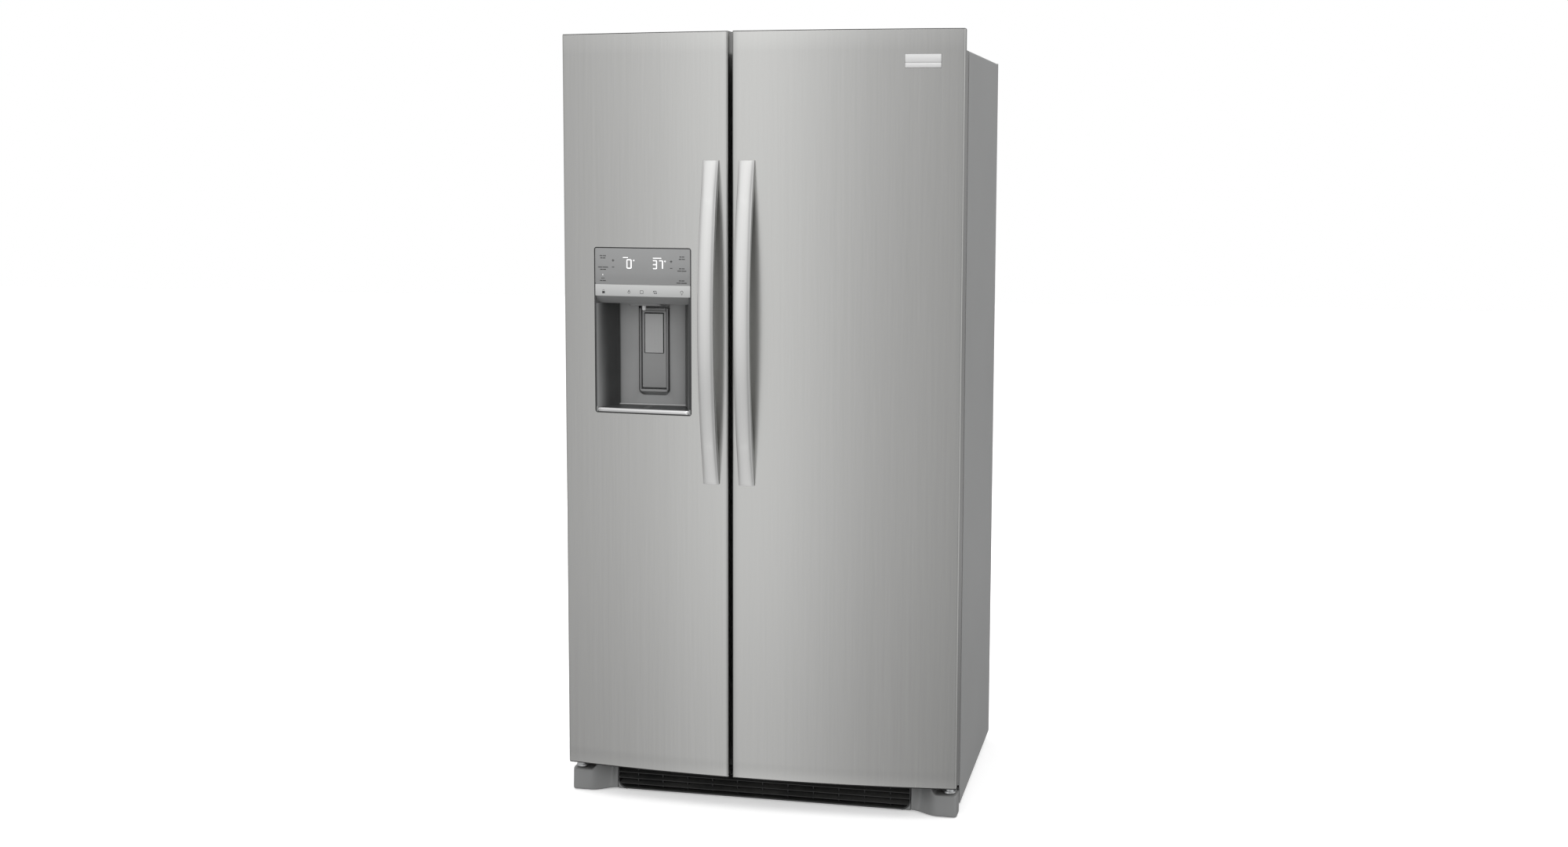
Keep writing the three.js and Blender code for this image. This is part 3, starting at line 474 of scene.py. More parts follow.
def settled(thing, angle=32.0):
    """Applies a piece's modifiers to its mesh and sets its crisp edges again."""
    evaluated = thing.evaluated_get(bpy.context.evaluated_depsgraph_get())
    mesh = bpy.data.meshes.new_from_object(evaluated)
    thing.modifiers.clear()
    thing.data = mesh
    mesh.shade_smooth()
    mesh.set_sharp_from_angle(angle=math.radians(angle))
    return thing


def cut_away(thing, points, faces, angle=32.0):
    """Cuts a closed solid out of a piece and removes the cutter."""
    mesh = mesh_of("cutter", points, faces)
    cutter = bpy.data.objects.new("cutter", mesh)
    bpy.context.scene.collection.objects.link(cutter)
    cutting = thing.modifiers.new("cut", "BOOLEAN")
    cutting.operation = "DIFFERENCE"
    cutting.solver = "EXACT"
    cutting.object = cutter
    bpy.context.view_layer.update()
    settled(thing, angle)
    bpy.data.objects.remove(cutter)
    bpy.data.meshes.remove(mesh)
    return thing


# The dispenser's hole: left, right, bottom and top.
HOLE_X0, HOLE_X1, HOLE_Z0, HOLE_Z1 = -381 * MM, -148 * MM, 905 * MM, 1283 * MM
HOLE_DEPTHS = (-450 * MM, -260 * MM)

for name, (x0, x1) in DOORS.items():
    skin = built(
        f"{name}_door_sheet", *door_skin_surface(x0, x1), door_steel, f"{name}_door", "stainless",
        replaced=[f"{name}_door_skin"], closed=False,
    )
    settled(thickened(skin, SHEET))
    if name == "freezer":
        hole = rounded_block(
            (HOLE_X0, HOLE_DEPTHS[0], HOLE_Z0), (HOLE_X1, HOLE_DEPTHS[1], HOLE_Z1), 0.4 * MM, corner=6 * MM, axis=1,
        )
        cut_away(skin, *hole)

# A dark moulded cap closes each door's top and foot, and shows as a fine line above the steel.
cap_plastic = finish("door cap", PAINT_PEEL, [(0.012, 0.012, 0.012), (0.02, 0.02, 0.02)], (0.6, 0.7), bump=0.1)


def end_cap(x0, x1, z0, z1, rear):
    """A thin plate over the door's plan, drawn in a little from the steel and eased round its edge."""
    loops = []
    for z, inset in ((z0, 1.2 * MM), (z0 + 0.3 * MM, 0.6 * MM), (z1 - 0.3 * MM, 0.6 * MM), (z1, 1.2 * MM)):
        plan = door_plan(x0, x1, inset, rear)[2:-2]
        loops.append(np.column_stack([plan, np.full(len(plan), z)]))
    return stacked(loops)


for name, (x0, x1) in DOORS.items():
    caps = (end_cap(x0, x1, DOOR_TOP - 1.8 * MM, DOOR_TOP, RIM_REAR),
            end_cap(x0, x1, DOOR_BOTTOM, DOOR_BOTTOM + 2.6 * MM, DOOR_REAR + 0.2 * MM))
    built(f"{name}_door_caps", *gathered(*caps), cap_plastic, f"{name}_door", "dark_plastic")


# ---------------------------------------------------------------- bar handles
# Two long stainless bars arch out from the doors beside the centre gap. They have a crowned face, soft edges
# and square-cut ends that stand on the skin, and they are brushed along their length.

handle_steel = finish(
    "handle stainless", BRUSHED, [(0.7, 0.7, 0.692), (0.84, 0.84, 0.83)], (0.3, 0.4),
    metallic=1.0, bump=0.06, grain={"Grain": (1.0, 0.3, 0.012)}, Anisotropic=0.3,
)


def bar_handle(node, rows=60):
    """Sections stacked from end to end. The front follows a parabola out from the door, the back a shorter one,
    and each section is a flattened loop: |x|^6 + |y|^6 = 1, its front half crowned."""
    low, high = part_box(node)
    half_width, middle, half_length = (high.x - low.x) / 2, (low.z + high.z) / 2, (high.z - low.z) / 2
    seat, out = high.y, low.y
    ease, thickness, foot, squareness, landing = 1.5 * MM, 15 * MM, 7 * MM, 6, 0.84
    end = 1 - ease / half_length
    t = np.concatenate([[-1, -1], np.linspace(-end, end, rows), [1, 1]])
    draw = np.concatenate([[ease, ease * 0.3], np.zeros(rows), [ease * 0.3, ease]])
    front = out + (seat - foot - out) * t**2
    back = out + thickness
    back = np.minimum(back + (seat - back) * (t / landing) ** 2, seat)
    angle = np.linspace(0, 2 * math.pi, 40, endpoint=False)
    px, py = (np.sign(wave) * np.abs(wave) ** (2 / squareness) for wave in (np.cos(angle), np.sin(angle)))
    crown = 1.4 * MM * px**2
    loops = np.zeros((len(t), len(angle), 3))
    loops[:, :, 0] = (low.x + high.x) / 2 + px[None, :] * (half_width - draw[:, None])
    centre = (front + back) / 2
    reach = (back - front) / 2 - draw
    loops[:, :, 1] = centre[:, None] + py[None, :] * reach[:, None] + np.where(py < 0, crown, 0)[None, :]
    loops[:, :, 2] = (middle + half_length * t)[:, None]
    return stacked(loops)


for side in ("freezer", "fridge"):
    built(
        f"{side}_bar_handle", *bar_handle(f"{side}_handle"), handle_steel, f"{side}_door", "handle_stainless",
        replaced=[f"{side}_handle"], angle=50,
    )


# ---------------------------------------------------------------- badge plate
# A small blank plate of bright metal near the top of the wide door, on a thin dark base bonded to the steel. A
# groove divides it into a taller upper field and a lower one.

plate_metal = finish(
    "bright plate", BRUSHED, [(0.82, 0.82, 0.82), (0.9, 0.9, 0.895)], (0.3, 0.4),
    metallic=0.4, bump=0.03, grain={"Grain": (0.05, 1.0, 1.0)},
)
groove_black = finish("groove black", PAINT_PEEL, [(0.012, 0.012, 0.012), (0.02, 0.02, 0.02)], (0.5, 0.6), bump=0.1)


def on_doors(solid, lift=0.0):
    """Points given flat, with y measured out from the doors' front, moved on to the bowed front at their x."""
    points, faces = solid
    points = np.array(points, float)
    points[:, 1] += bowed(points[:, 0]) - lift
    return points, faces


def bent_block(low, high, edge, corner=None, columns=14):
    """A rounded block in front view, cut into columns so that it bends with the doors: each column is a closed
    loop through the front and rear face, drawn in near the ends by the corner radius."""
    (x0, y0, z0), (x1, y1, z1) = low, high
    corner = corner or edge
    turn = np.linspace(0, math.pi / 2, 7)
    near = corner * (1 - np.cos(turn))
    drop = corner * (1 - np.sin(turn))
    xs = np.concatenate([x0 + near, np.linspace(x0 + corner, x1 - corner, columns)[1:-1], (x1 - near)[::-1]])
    inset = np.concatenate([drop, np.zeros(columns - 2), drop[::-1]])
    loops = []
    for x, d in zip(xs, inset):
        a, b = z0 + d, z1 - d
        e = edge if b - a > 2 * edge else (b - a) / 3
        loops.append([(x, y1, a), (x, y0 + e, a), (x, y0 + 0.3 * e, a + 0.3 * e), (x, y0, a + e),
                      (x, y0, b - e), (x, y0 + 0.3 * e, b - 0.3 * e), (x, y0 + e, b), (x, y1, b)])
    return stacked(loops)


def badge_fields():
    """The base, drawn out past the plate, and the two fields on it with the groove between them."""
    low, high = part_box("badge")
    margin, groove, face, under, edge, corner = 0.4 * MM, 0.25 * MM, -1.7 * MM, -0.6 * MM, 0.25 * MM, 1 * MM
    split = low.z + 0.38 * (high.z - low.z)
    base = bent_block(
        (low.x - margin, -1.0 * MM, low.z - margin), (high.x + margin, 0.1 * MM, high.z + margin), 0.2 * MM, corner,
    )
    upper = bent_block((low.x, face, split + groove), (high.x, under, high.z), edge, corner)
    lower = bent_block((low.x, face, low.z), (high.x, under, split - groove), edge, corner)
    return base, gathered(upper, lower)


badge_base, badge_faces = badge_fields()
built("badge_base", *on_doors(badge_base), groove_black, "fridge_door", "bright_trim")
built("badge_plate", *on_doors(badge_faces), plate_metal, "fridge_door", "bright_trim", replaced=["badge"])


# ---------------------------------------------------------------- door gaskets
# Each door has a magnetic gasket pushed into its back: a soft dark bellows round the opening, with a flat face
# that holds a flexible magnet against the front frame.


def moulded_group():
    """Moulded plastic: a fine pebbled grain from cells and noise, and a faint slow mottle of the tone."""
    group, given, out = texture_group("moulded grain", ("Scale", "NodeSocketFloat", 900.0))
    place = object_place(group)
    cells = add_node(group, "ShaderNodeTexVoronoi", Vector=place, Scale=given.outputs["Scale"])
    fine = noise(group, place, given.outputs["Scale"], 2.0)
    slow = noise(group, place, 9.0, 4.0, 0.6)
    group.links.new(slow, out.inputs["Mask"])
    group.links.new(weighted(group, cells.outputs["Distance"], 0.5, fine, 0.5), out.inputs["Height"])
    return group


MOULDED = moulded_group()
gasket_rubber = finish(
    "gasket rubber", MOULDED, [(0.085, 0.087, 0.088), (0.115, 0.117, 0.118)], (0.55, 0.7), bump=0.2, dust=0.1,
)


def gasket(node):
    """The bellows: a closed section of a lip, a fold and a flat face, carried round a rounded rectangle."""
    low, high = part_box(node)
    width = 17 * MM
    rear, front = high.y - 0.4 * MM, low.y
    depth = rear - front
    section = np.array([
        (0.0, 0.0), (1.0, 0.0), (1.0, 0.3), (0.72, 0.45), (0.8, 0.62), (1.0, 0.7), (1.0, 0.95), (0.95, 1.0),
        (0.05, 1.0), (0.0, 0.95), (0.0, 0.7), (0.2, 0.62), (0.28, 0.45), (0.0, 0.3),
    ])
    centre = ((low.x + high.x) / 2, (low.z + high.z) / 2)
    size = (high.x - low.x, high.z - low.z)
    grid = []
    for across, back in section:
        d = across * width
        loop = round_rect(size[0] - 2 * d, size[1] - 2 * d, max(20 * MM - d, 2 * MM), 7)
        grid.append(np.column_stack([loop[:, 0] + centre[0], np.full(len(loop), front + back * depth),
                                     loop[:, 1] + centre[1]]))
    grid = np.array(grid + grid[:1])
    around = grid.shape[1]
    faces = loop_faces(len(grid), around)
    faces = np.where(faces >= (len(grid) - 1) * around, faces - (len(grid) - 1) * around, faces)
    return grid[:-1].reshape(-1, 3), faces


for side in ("freezer", "fridge"):
    built(f"{side}_bellows", *gasket(f"{side}_gasket"), gasket_rubber, f"{side}_door", "gasket_rubber",
          replaced=[f"{side}_gasket"], angle=50)


# ---------------------------------------------------------------- water and ice dispenser
# A moulded housing fills the hole in the narrow door: a niche with filleted back corners and a round-ended
# channel for the paddle. Above it are a display behind smoked glass, a silver strip of touch marks and a sloping
# lip; below is a slotted tray with a polished front bar. Nothing is screwed on from the front.

NICHE_X = (HOLE_X0 + 4 * MM, HOLE_X1 - 6 * MM)
NICHE_Z = (906.4 * MM, 1155.5 * MM)
NICHE_BACK = -213 * MM
NICHE_DRAFT, NICHE_FILLET = 30 * MM, 24 * MM
STRIP_Z = (1172.4 * MM, 1199 * MM)
LIP_DEPTH = 22 * MM
AHEAD = -345 * MM
CENTRE_X = -264.5 * MM


def niche_painted_shade_group():
    """Painted shade: Mask is 1 on the walls that face sideways and 0 on the back, so the niche's side walls are painted
    dark as shade, with the moulded grain as the height.
    """
    group, given, out = texture_group("niche painted shade", ("Scale", "NodeSocketFloat", 900.0))
    normal = add_node(group, "ShaderNodeNewGeometry").outputs["Normal"]
    part = add_node(group, "ShaderNodeSeparateXYZ", Vector=normal)
    sideways = arithmetic(group, "ABSOLUTE", part.outputs["X"])
    wall = add_node(group, "ShaderNodeMapRange", {"interpolation_type": "SMOOTHSTEP"},
                    Value=sideways, From_Min=0.75, From_Max=0.92)
    grain = add_node(group, "ShaderNodeGroup", {"node_tree": MOULDED}, Scale=given.outputs["Scale"])
    shade = weighted(group, wall.outputs[0], 0.88, grain.outputs["Mask"], 0.12, clamp=True)
    group.links.new(shade, out.inputs["Mask"])
    group.links.new(grain.outputs["Height"], out.inputs["Height"])
    return group


# The niche's sideways walls are painted dark as shade; the back keeps the plastic's own gray.
niche_plastic_painted_shade = finish(
    "niche plastic with painted shade", niche_painted_shade_group(), [(0.37, 0.373, 0.373), (0.035, 0.036, 0.036)], (0.34, 0.42), bump=0.12,
)
frame_plastic = finish("frame plastic", MOULDED, [(0.045, 0.046, 0.047), (0.06, 0.061, 0.062)], (0.4, 0.5), bump=0.1)
paddle_plastic = finish("paddle plastic", MOULDED, [(0.35, 0.352, 0.352), (0.38, 0.382, 0.382)], (0.4, 0.5), bump=0.1)
pad_plastic = finish("pad plastic", MOULDED, [(0.5, 0.502, 0.502), (0.54, 0.542, 0.542)], (0.36, 0.46), bump=0.1)
lip_plastic = finish("lip plastic", MOULDED, [(0.3, 0.303, 0.303), (0.33, 0.333, 0.333)], (0.28, 0.36), bump=0.1)
tray_plastic = finish("tray plastic", MOULDED, [(0.06, 0.061, 0.062), (0.08, 0.081, 0.082)], (0.3, 0.4), bump=0.1)
nozzle_white = finish("nozzle white", MOULDED, [(0.82, 0.82, 0.82), (0.88, 0.88, 0.88)], (0.3, 0.4), bump=0.03)
display_glass = finish(
    "display glass", PAINT_PEEL, [(0.335, 0.338, 0.338), (0.355, 0.358, 0.358)], (0.16, 0.22), bump=0.0,
    Coat_Weight=0.6, Coat_Roughness=0.08,
)
strip_silver = finish(
    "silver strip", BRUSHED, [(0.64, 0.645, 0.64), (0.68, 0.685, 0.68)], (0.35, 0.42), metallic=0.35, bump=0.02,
    grain={"Grain": (0.05, 1.0, 1.0)},
)
ink_dark = finish("dark ink", PAINT_PEEL, [(0.03, 0.03, 0.03), (0.045, 0.045, 0.045)], (0.5, 0.6), bump=0.0)
digit_light = finish(
    "lit digits", PAINT_PEEL, [(0.9, 0.9, 0.9), (0.95, 0.95, 0.95)], (0.5, 0.6), bump=0.0,
    Emission_Color=(1.0, 1.0, 1.0, 1.0), Emission_Strength=0.75,
)
chrome = finish("polished bar", PAINT_PEEL, [(0.78, 0.78, 0.78), (0.84, 0.84, 0.84)], (0.1, 0.16), metallic=1.0,
                bump=0.0)


def housing_solid():
    """The body of the housing: columns from the bowed front to the rear, between the hole's edges."""
    gap = 0.6 * MM
    xs = np.linspace(HOLE_X0 + gap, HOLE_X1 - gap, 16)
    z0, z1 = HOLE_Z0 + gap, HOLE_Z1 - gap
    rear = -187 * MM
    loops = [[(x, rear, z0), (x, bowed(x) + 1.2 * MM, z0), (x, bowed(x) + 1.2 * MM, z1), (x, rear, z1)] for x in xs]
    return stacked(loops)


def niche_plan():
    """Plan of the niche: walls with draft, a quarter fillet at each back corner, and the front left open far
    ahead of the door."""
    draft, fillet = NICHE_DRAFT, NICHE_FILLET
    x0, x1 = NICHE_X
    turn = np.linspace(0, 1, 9)
    left = np.array([(x0, AHEAD), (x0, bowed(x0))])
    a = np.array([x0 + draft, NICHE_BACK - fillet])
    b = np.array([x0 + draft + fillet, NICHE_BACK])
    corner = np.array([x0 + draft, NICHE_BACK])
    bend = np.outer((1 - turn) ** 2, a) + np.outer(2 * turn * (1 - turn), corner) + np.outer(turn**2, b)
    mirror = bend[::-1].copy()
    mirror[:, 0] = x0 + x1 - mirror[:, 0]
    right = np.array([(x1, bowed(x1)), (x1, AHEAD)])
    return np.concatenate([left, bend, mirror, right])


def prism(plan, z0, z1):
    """A closed solid over a plan outline between two heights."""
    loops = [np.column_stack([plan, np.full(len(plan), z)]) for z in (z0, z1)]
    return stacked(loops)


def channel_plan(half, z0, z1, radius):
    """Front view of the channel: straight sides, open at the top, with quarter-round lower corners."""
    turn = np.linspace(0, math.pi / 2, 7)
    right = np.stack([CENTRE_X + half - radius + radius * np.sin(turn), z0 + radius - radius * np.cos(turn)], -1)
    left = right[::-1] * [-1, 1] + [2 * CENTRE_X, 0]
    return np.concatenate([[(CENTRE_X - half, z1)], left, right, [(CENTRE_X + half, z1)]])


def from_front(outline, y0, y1):
    """A closed solid over an outline in front view (x, z) between two depths."""
    outline = np.asarray(outline)
    loops = [np.column_stack([outline[:, 0], np.full(len(outline), y), outline[:, 1]]) for y in (y0, y1)]
    return stacked(loops)


def lip_wedge():
    """What is cut away under the lip: from its lower rear edge up to the strip's lower edge, ahead of the door."""
    xs = np.linspace(NICHE_X[0] - 5 * MM, NICHE_X[1] + 7 * MM, 12)
    z0, z1 = NICHE_Z[1] - 0.5 * MM, STRIP_Z[0]
    loops = [[(x, bowed(x) + LIP_DEPTH, z0), (x, AHEAD, z0), (x, AHEAD, z1), (x, bowed(x), z1)] for x in xs]
    return stacked(loops)


def dispenser_housing():
    """The housing's body, with the wedge, the niche and the channel cut out of it and its edges bevelled."""
    body = built("dispenser_niche", *housing_solid(), niche_plastic_painted_shade, "freezer_door", "dispenser_gray",
                 replaced=["dispenser_housing"])
    channel = channel_plan(37 * MM, 938 * MM, 1155 * MM, 13 * MM)
    cut_away(body, *lip_wedge())
    cut_away(body, *prism(niche_plan(), *NICHE_Z))
    cut_away(body, *from_front(channel, -240 * MM, -195 * MM))
    soften = body.modifiers.new("soft edges", "BEVEL")
    soften.width = 1.2 * MM
    soften.segments = 2
    soften.limit_method = "ANGLE"
    soften.angle_limit = math.radians(40)
    settled(body, 35)


dispenser_housing()

# A dark frame stands round the niche, and a thin black seal lies between the housing and the steel.
FRAME_FOOT = HOLE_Z0 + 14 * MM
rim_bars = [
    bent_block((x0, 0.2 * MM, FRAME_FOOT), (x1, 4 * MM, STRIP_Z[0]), 0.5 * MM, columns=4)
    for x0, x1 in ((HOLE_X0 + 1.2 * MM, NICHE_X[0] + 0.2 * MM), (NICHE_X[1] - 0.2 * MM, HOLE_X1 - 1.2 * MM))
] + [
    bent_block(
        (HOLE_X0 + 1.0 * MM, 0.9 * MM, HOLE_Z0 + 0.8 * MM), (HOLE_X1 - 1.0 * MM, 3.5 * MM, HOLE_Z0 + 2.6 * MM),
        0.4 * MM,
    ),
]
built("dispenser_frame", *on_doors(gathered(*rim_bars)), frame_plastic, "freezer_door", "dark_plastic")
seal_bars = [
    bent_block((x0, 0.7 * MM, z0), (x1, 1.6 * MM, z1), 0.2 * MM, columns=14)
    for x0, x1, z0, z1 in (
        (HOLE_X0 + 0.3 * MM, HOLE_X0 + 2.6 * MM, HOLE_Z0 + 0.3 * MM, HOLE_Z1 - 0.3 * MM),
        (HOLE_X1 - 2.6 * MM, HOLE_X1 - 0.3 * MM, HOLE_Z0 + 0.3 * MM, HOLE_Z1 - 0.3 * MM),
        (HOLE_X0 + 2 * MM, HOLE_X1 - 2 * MM, HOLE_Z1 - 2.6 * MM, HOLE_Z1 - 0.3 * MM),
        (HOLE_X0 + 2 * MM, HOLE_X1 - 2 * MM, HOLE_Z0 + 0.3 * MM, HOLE_Z0 + 1.4 * MM),
    )
]
built("dispenser_seal", *on_doors(gathered(*seal_bars)), groove_black, "freezer_door", "dark_plastic")


def lip_surface():
    """The lip: columns of a wedge whose front face slopes back from the strip to the niche, mitred at its ends."""
    t = np.linspace(0, 1, 16)
    top = HOLE_X0 + 2.2 * MM + t * (HOLE_X1 - HOLE_X0 - 4.4 * MM)
    low = HOLE_X0 + 8 * MM + t * (HOLE_X1 - HOLE_X0 - 14 * MM)
    z1, z0 = STRIP_Z[0] - 0.3 * MM, NICHE_Z[1] - 0.6 * MM
    loops = []
    for a, b in zip(top, low):
        y1, y0 = bowed(a) + 0.6 * MM, bowed(b) + LIP_DEPTH
        loops.append([(a, y1 + 2.4 * MM, z1), (a, y1, z1 - 0.4 * MM), (b, y0 - 1.2 * MM, z0 + 0.4 * MM), (b, y0, z0),
                      (b, y0 + 2.5 * MM, z0 + 0.5 * MM)])
    return stacked(loops)


built("dispenser_lip", *lip_surface(), lip_plastic, "freezer_door", "dispenser_gray")

PANEL_X = (HOLE_X0 + 2.4 * MM, HOLE_X1 - 2.4 * MM)
pane = bent_block(
    (PANEL_X[0], 0.3 * MM, STRIP_Z[1] + 0.3 * MM), (PANEL_X[1], 4 * MM, HOLE_Z1 - 2.2 * MM), 0.6 * MM, 3.5 * MM,
)
strip = bent_block((PANEL_X[0], 0.1 * MM, STRIP_Z[0] + 0.1 * MM), (PANEL_X[1], 4 * MM, STRIP_Z[1] - 0.2 * MM), 0.6 * MM)
built("display_glass", *on_doors(pane), display_glass, "freezer_door", "display_glass", replaced=["display_panel"])
built("touch_strip", *on_doors(strip), strip_silver, "freezer_door", "display_glass")

# Marks are thin inlays: bars, rings and simple outlines, given in millimetres by centre and size.
INLAY = 0.16 * MM


def bar(x, z, width, height, slant=0.0):
    """A small inlay of the width and height, leaning by `slant` along x over its height."""
    w, h = width / 2, height / 2
    flat = [(x - w - slant * h, z - h), (x + w - slant * h, z - h), (x + w + slant * h, z + h),
            (x - w + slant * h, z + h)]
    return from_front(np.array(flat) * MM, -INLAY, INLAY)


def ring(x, z, radius, width, squash=1.0, start=0.0, sweep=360.0):
    """A flat band round a centre; part of a turn gives an open arc."""
    turn = np.radians(start + np.linspace(0, sweep, 25))
    outer = np.stack([x + radius * np.cos(turn), z + squash * radius * np.sin(turn)], -1)
    inner = np.stack([x + (radius - width) * np.cos(turn), z + (squash * radius - width) * np.sin(turn)], -1)
    flat = np.concatenate([outer, inner[::-1]]) * MM
    return as_cross_strips([np.insert(flat, 1, y, axis=1) for y in (-INLAY, INLAY)])


SEGMENTS = {"0": "abcdef", "3": "abgcd", "7": "abc"}


def digit(figure, x, z, width, height, stroke=2.1):
    """A seven-segment figure: a to g are the bars in the usual order."""
    w, h = width / 2 - stroke / 2, height / 2 - stroke / 2
    across, up = width - stroke - 0.8, h - stroke * 0.5 - 0.2
    place = {"a": (0, h, 1), "d": (0, -h, 1), "g": (0, 0, 1), "b": (w, h / 2, 0), "c": (w, -h / 2, 0),
             "f": (-w, h / 2, 0), "e": (-w, -h / 2, 0)}
    bars = []
    for name in SEGMENTS[figure]:
        dx, dz, level = place[name]
        size = (across, stroke) if level else (stroke, up + stroke * 0.55)
        bars.append(bar(x + dx, z + dz, *size))
    return bars


lit = digit("0", -295.9, 1245.6, 12.2, 21)
lit += digit("3", -234.2, 1244.9, 11.0, 20) + digit("7", -219.8, 1244.9, 10.4, 20)
lit += [ring(-284.4, 1253.6, 1.7, 0.8), ring(-209.6, 1252.6, 1.7, 0.8)]
lit += [bar(-304.5, 1260.0, 12, 1.5), bar(-228.4, 1259.6, 20, 1.5), bar(-360.0, 1220.3, 1.2, 2.6)]
built("lit_figures", *on_doors(gathered(*lit), -0.3 * MM), digit_light, "freezer_door", "display_glass",
      smooth=False)

marks = []
for x, z in ((-334.7, 1253.1), (-195.2, 1252.2)):
    marks += [bar(x, z, 5.6, 1.4), bar(x, z, 1.4, 5.6), bar(x, z - 15, 5.6, 1.4)]
for x, z, upper, lower in ((-359.6, 1260.8, 15, 12), (-359.2, 1235.0, 24, 14), (-359.8, 1209.7, 7, 14),
                           (-169.9, 1260.4, 11, 14), (-169.9, 1233.9, 13, 21), (-170.6, 1207.1, 13, 24)):
    for row, length in ((2.6, upper), (-2.6, lower)):
        first = length * 0.42
        marks += [bar(x - length / 2 + first / 2, z + row, first, 1.7),
                  bar(x + length / 2 - (length - first - 1.2) / 2, z + row, length - first - 1.2, 1.7)]
# Padlock, drop, cube, chips and bulb on the silver strip.
marks += [bar(-358.6, 1180.6, 6.4, 5.2), ring(-358.6, 1184.0, 2.5, 0.8, 1.2, 0, 180)]
marks += [ring(-296.4, 1181.6, 3.0, 0.9), bar(-297.5, 1185.3, 0.9, 3.4, 0.55), bar(-295.3, 1185.3, 0.9, 3.4, -0.55)]
marks += [bar(-265.7, 1185.8, 7.6, 0.9), bar(-265.7, 1179.2, 7.6, 0.9), bar(-269.1, 1182.5, 0.9, 6.0),
          bar(-262.3, 1182.5, 0.9, 6.0)]
marks += [bar(-236.4, 1184.6, 2.8, 2.8, 0.3), bar(-231.7, 1184.9, 2.6, 2.4, -0.3), bar(-235.2, 1180.4, 2.6, 2.6, -0.2),
          bar(-230.9, 1180.6, 3.0, 2.6, 0.25)]
marks += [ring(-170.3, 1184.0, 3.4, 0.9, 1.0, -50, 280), bar(-170.3, 1180.2, 3.0, 1.0), bar(-170.3, 1178.4, 2.2, 0.8)]
built("printed_marks", *on_doors(gathered(*marks), -0.2 * MM), ink_dark, "freezer_door", "display_glass", smooth=False)


def upright_plate(x0, x1, z0, z1, front, back, edge=1.0 * MM, corner=2.0 * MM):
    """A rounded block given by its two sides, its two heights and its two depths."""
    return rounded_block((x0, front, z0), (x1, back, z1), edge, corner, axis=1)


# The paddle hangs in its channel: a fixed rim round three sides, a plate on a hinge bar, and a ribbed pad.
rim_outline = [
    upright_plate(CENTRE_X + a * MM, CENTRE_X + b * MM, 946 * MM, top * MM, -219 * MM, -199 * MM)
    for a, b, top in ((-34, -30.5, 1140), (30.5, 34, 1140), (-34, 34, 951.5))
]
built("paddle_rim", *gathered(*rim_outline), paddle_plastic, "freezer_door", "dispenser_gray")
paddle_plate = upright_plate(
    CENTRE_X - 28.5 * MM, CENTRE_X + 28.5 * MM, 955.5 * MM, 1133 * MM, -214 * MM, -208.5 * MM,
)
hinge_bar = rounded_block(
    (CENTRE_X - 27 * MM, -209.5 * MM, 1132 * MM), (CENTRE_X + 27 * MM, -199.5 * MM, 1139.5 * MM), 2 * MM, axis=0,
)
built("paddle_body", *gathered(paddle_plate, hinge_bar), paddle_plastic, "paddle", "dispenser_gray",
      replaced=["dispenser_paddle"])
PAD = (CENTRE_X - 21.5 * MM, CENTRE_X + 21.5 * MM, 1036 * MM, 1127 * MM)
pad_groove = upright_plate(
    PAD[0] - 2.2 * MM, PAD[1] + 2.2 * MM, PAD[2] - 1 * MM, PAD[3] + 2.6 * MM, -214.4 * MM, -213.4 * MM, 0.3 * MM,
)
built("paddle_groove", *pad_groove, groove_black, "paddle", "dark_plastic")


def ribbed_pad():
    """The pad's front is a plane with fine upright ribs: y = front - 0.35 mm * max(0, sin(2 pi x / 3 mm))."""
    x0, x1, z0, z1 = PAD
    back, front, ease = -213.6 * MM, -215.4 * MM, 0.6 * MM
    xs = np.linspace(x0, x1, 100)
    rib = 0.35 * MM * np.maximum(0, np.sin(2 * math.pi * (xs - x0) / (3 * MM)))
    loops = [[(x, back, z0), (x, front - r, z0 + ease), (x, front - r, z1 - ease), (x, back, z1)]
             for x, r in zip(xs, rib)]
    return stacked(loops)


built("paddle_pad", *ribbed_pad(), pad_plastic, "paddle", "dispenser_gray", angle=60)


def turned(profile, centre, axis=2, segments=32):
    """A turned solid: (radius, height) pairs swept round an axis through the centre."""
    profile = np.asarray(profile, float)
    turn = np.linspace(0, 2 * math.pi, segments, endpoint=False)
    a, b = [(1, 2), (2, 0), (0, 1)][axis]
    loops = np.zeros((len(profile), segments, 3))
    loops[:, :, a] = centre[a] + profile[:, :1] * np.cos(turn)
    loops[:, :, b] = centre[b] + profile[:, :1] * np.sin(turn)
    loops[:, :, axis] = centre[axis] + profile[:, 1:]
    return stacked(loops)


def tube_profile(radius, bottom, top, ease):
    """The (radius, height) pairs of a plain cylinder with eased rims."""
    return [(radius - ease, bottom), (radius, bottom + ease), (radius, top - ease), (radius - ease, top)]


chute = rounded_block((-311 * MM, -262 * MM, 1148 * MM), (-234 * MM, -224 * MM, 1156 * MM), 2 * MM, 6 * MM)
built("ice_chute", *chute, lip_plastic, "freezer_door", "dispenser_gray", replaced=["dispenser_spout"])
nozzle = turned(tube_profile(4.4 * MM, 1137 * MM, 1149 * MM, 1 * MM), (-278 * MM, -250 * MM, 0))
built("water_nozzle", *nozzle, nozzle_white, "freezer_door", "white_plastic", angle=50)


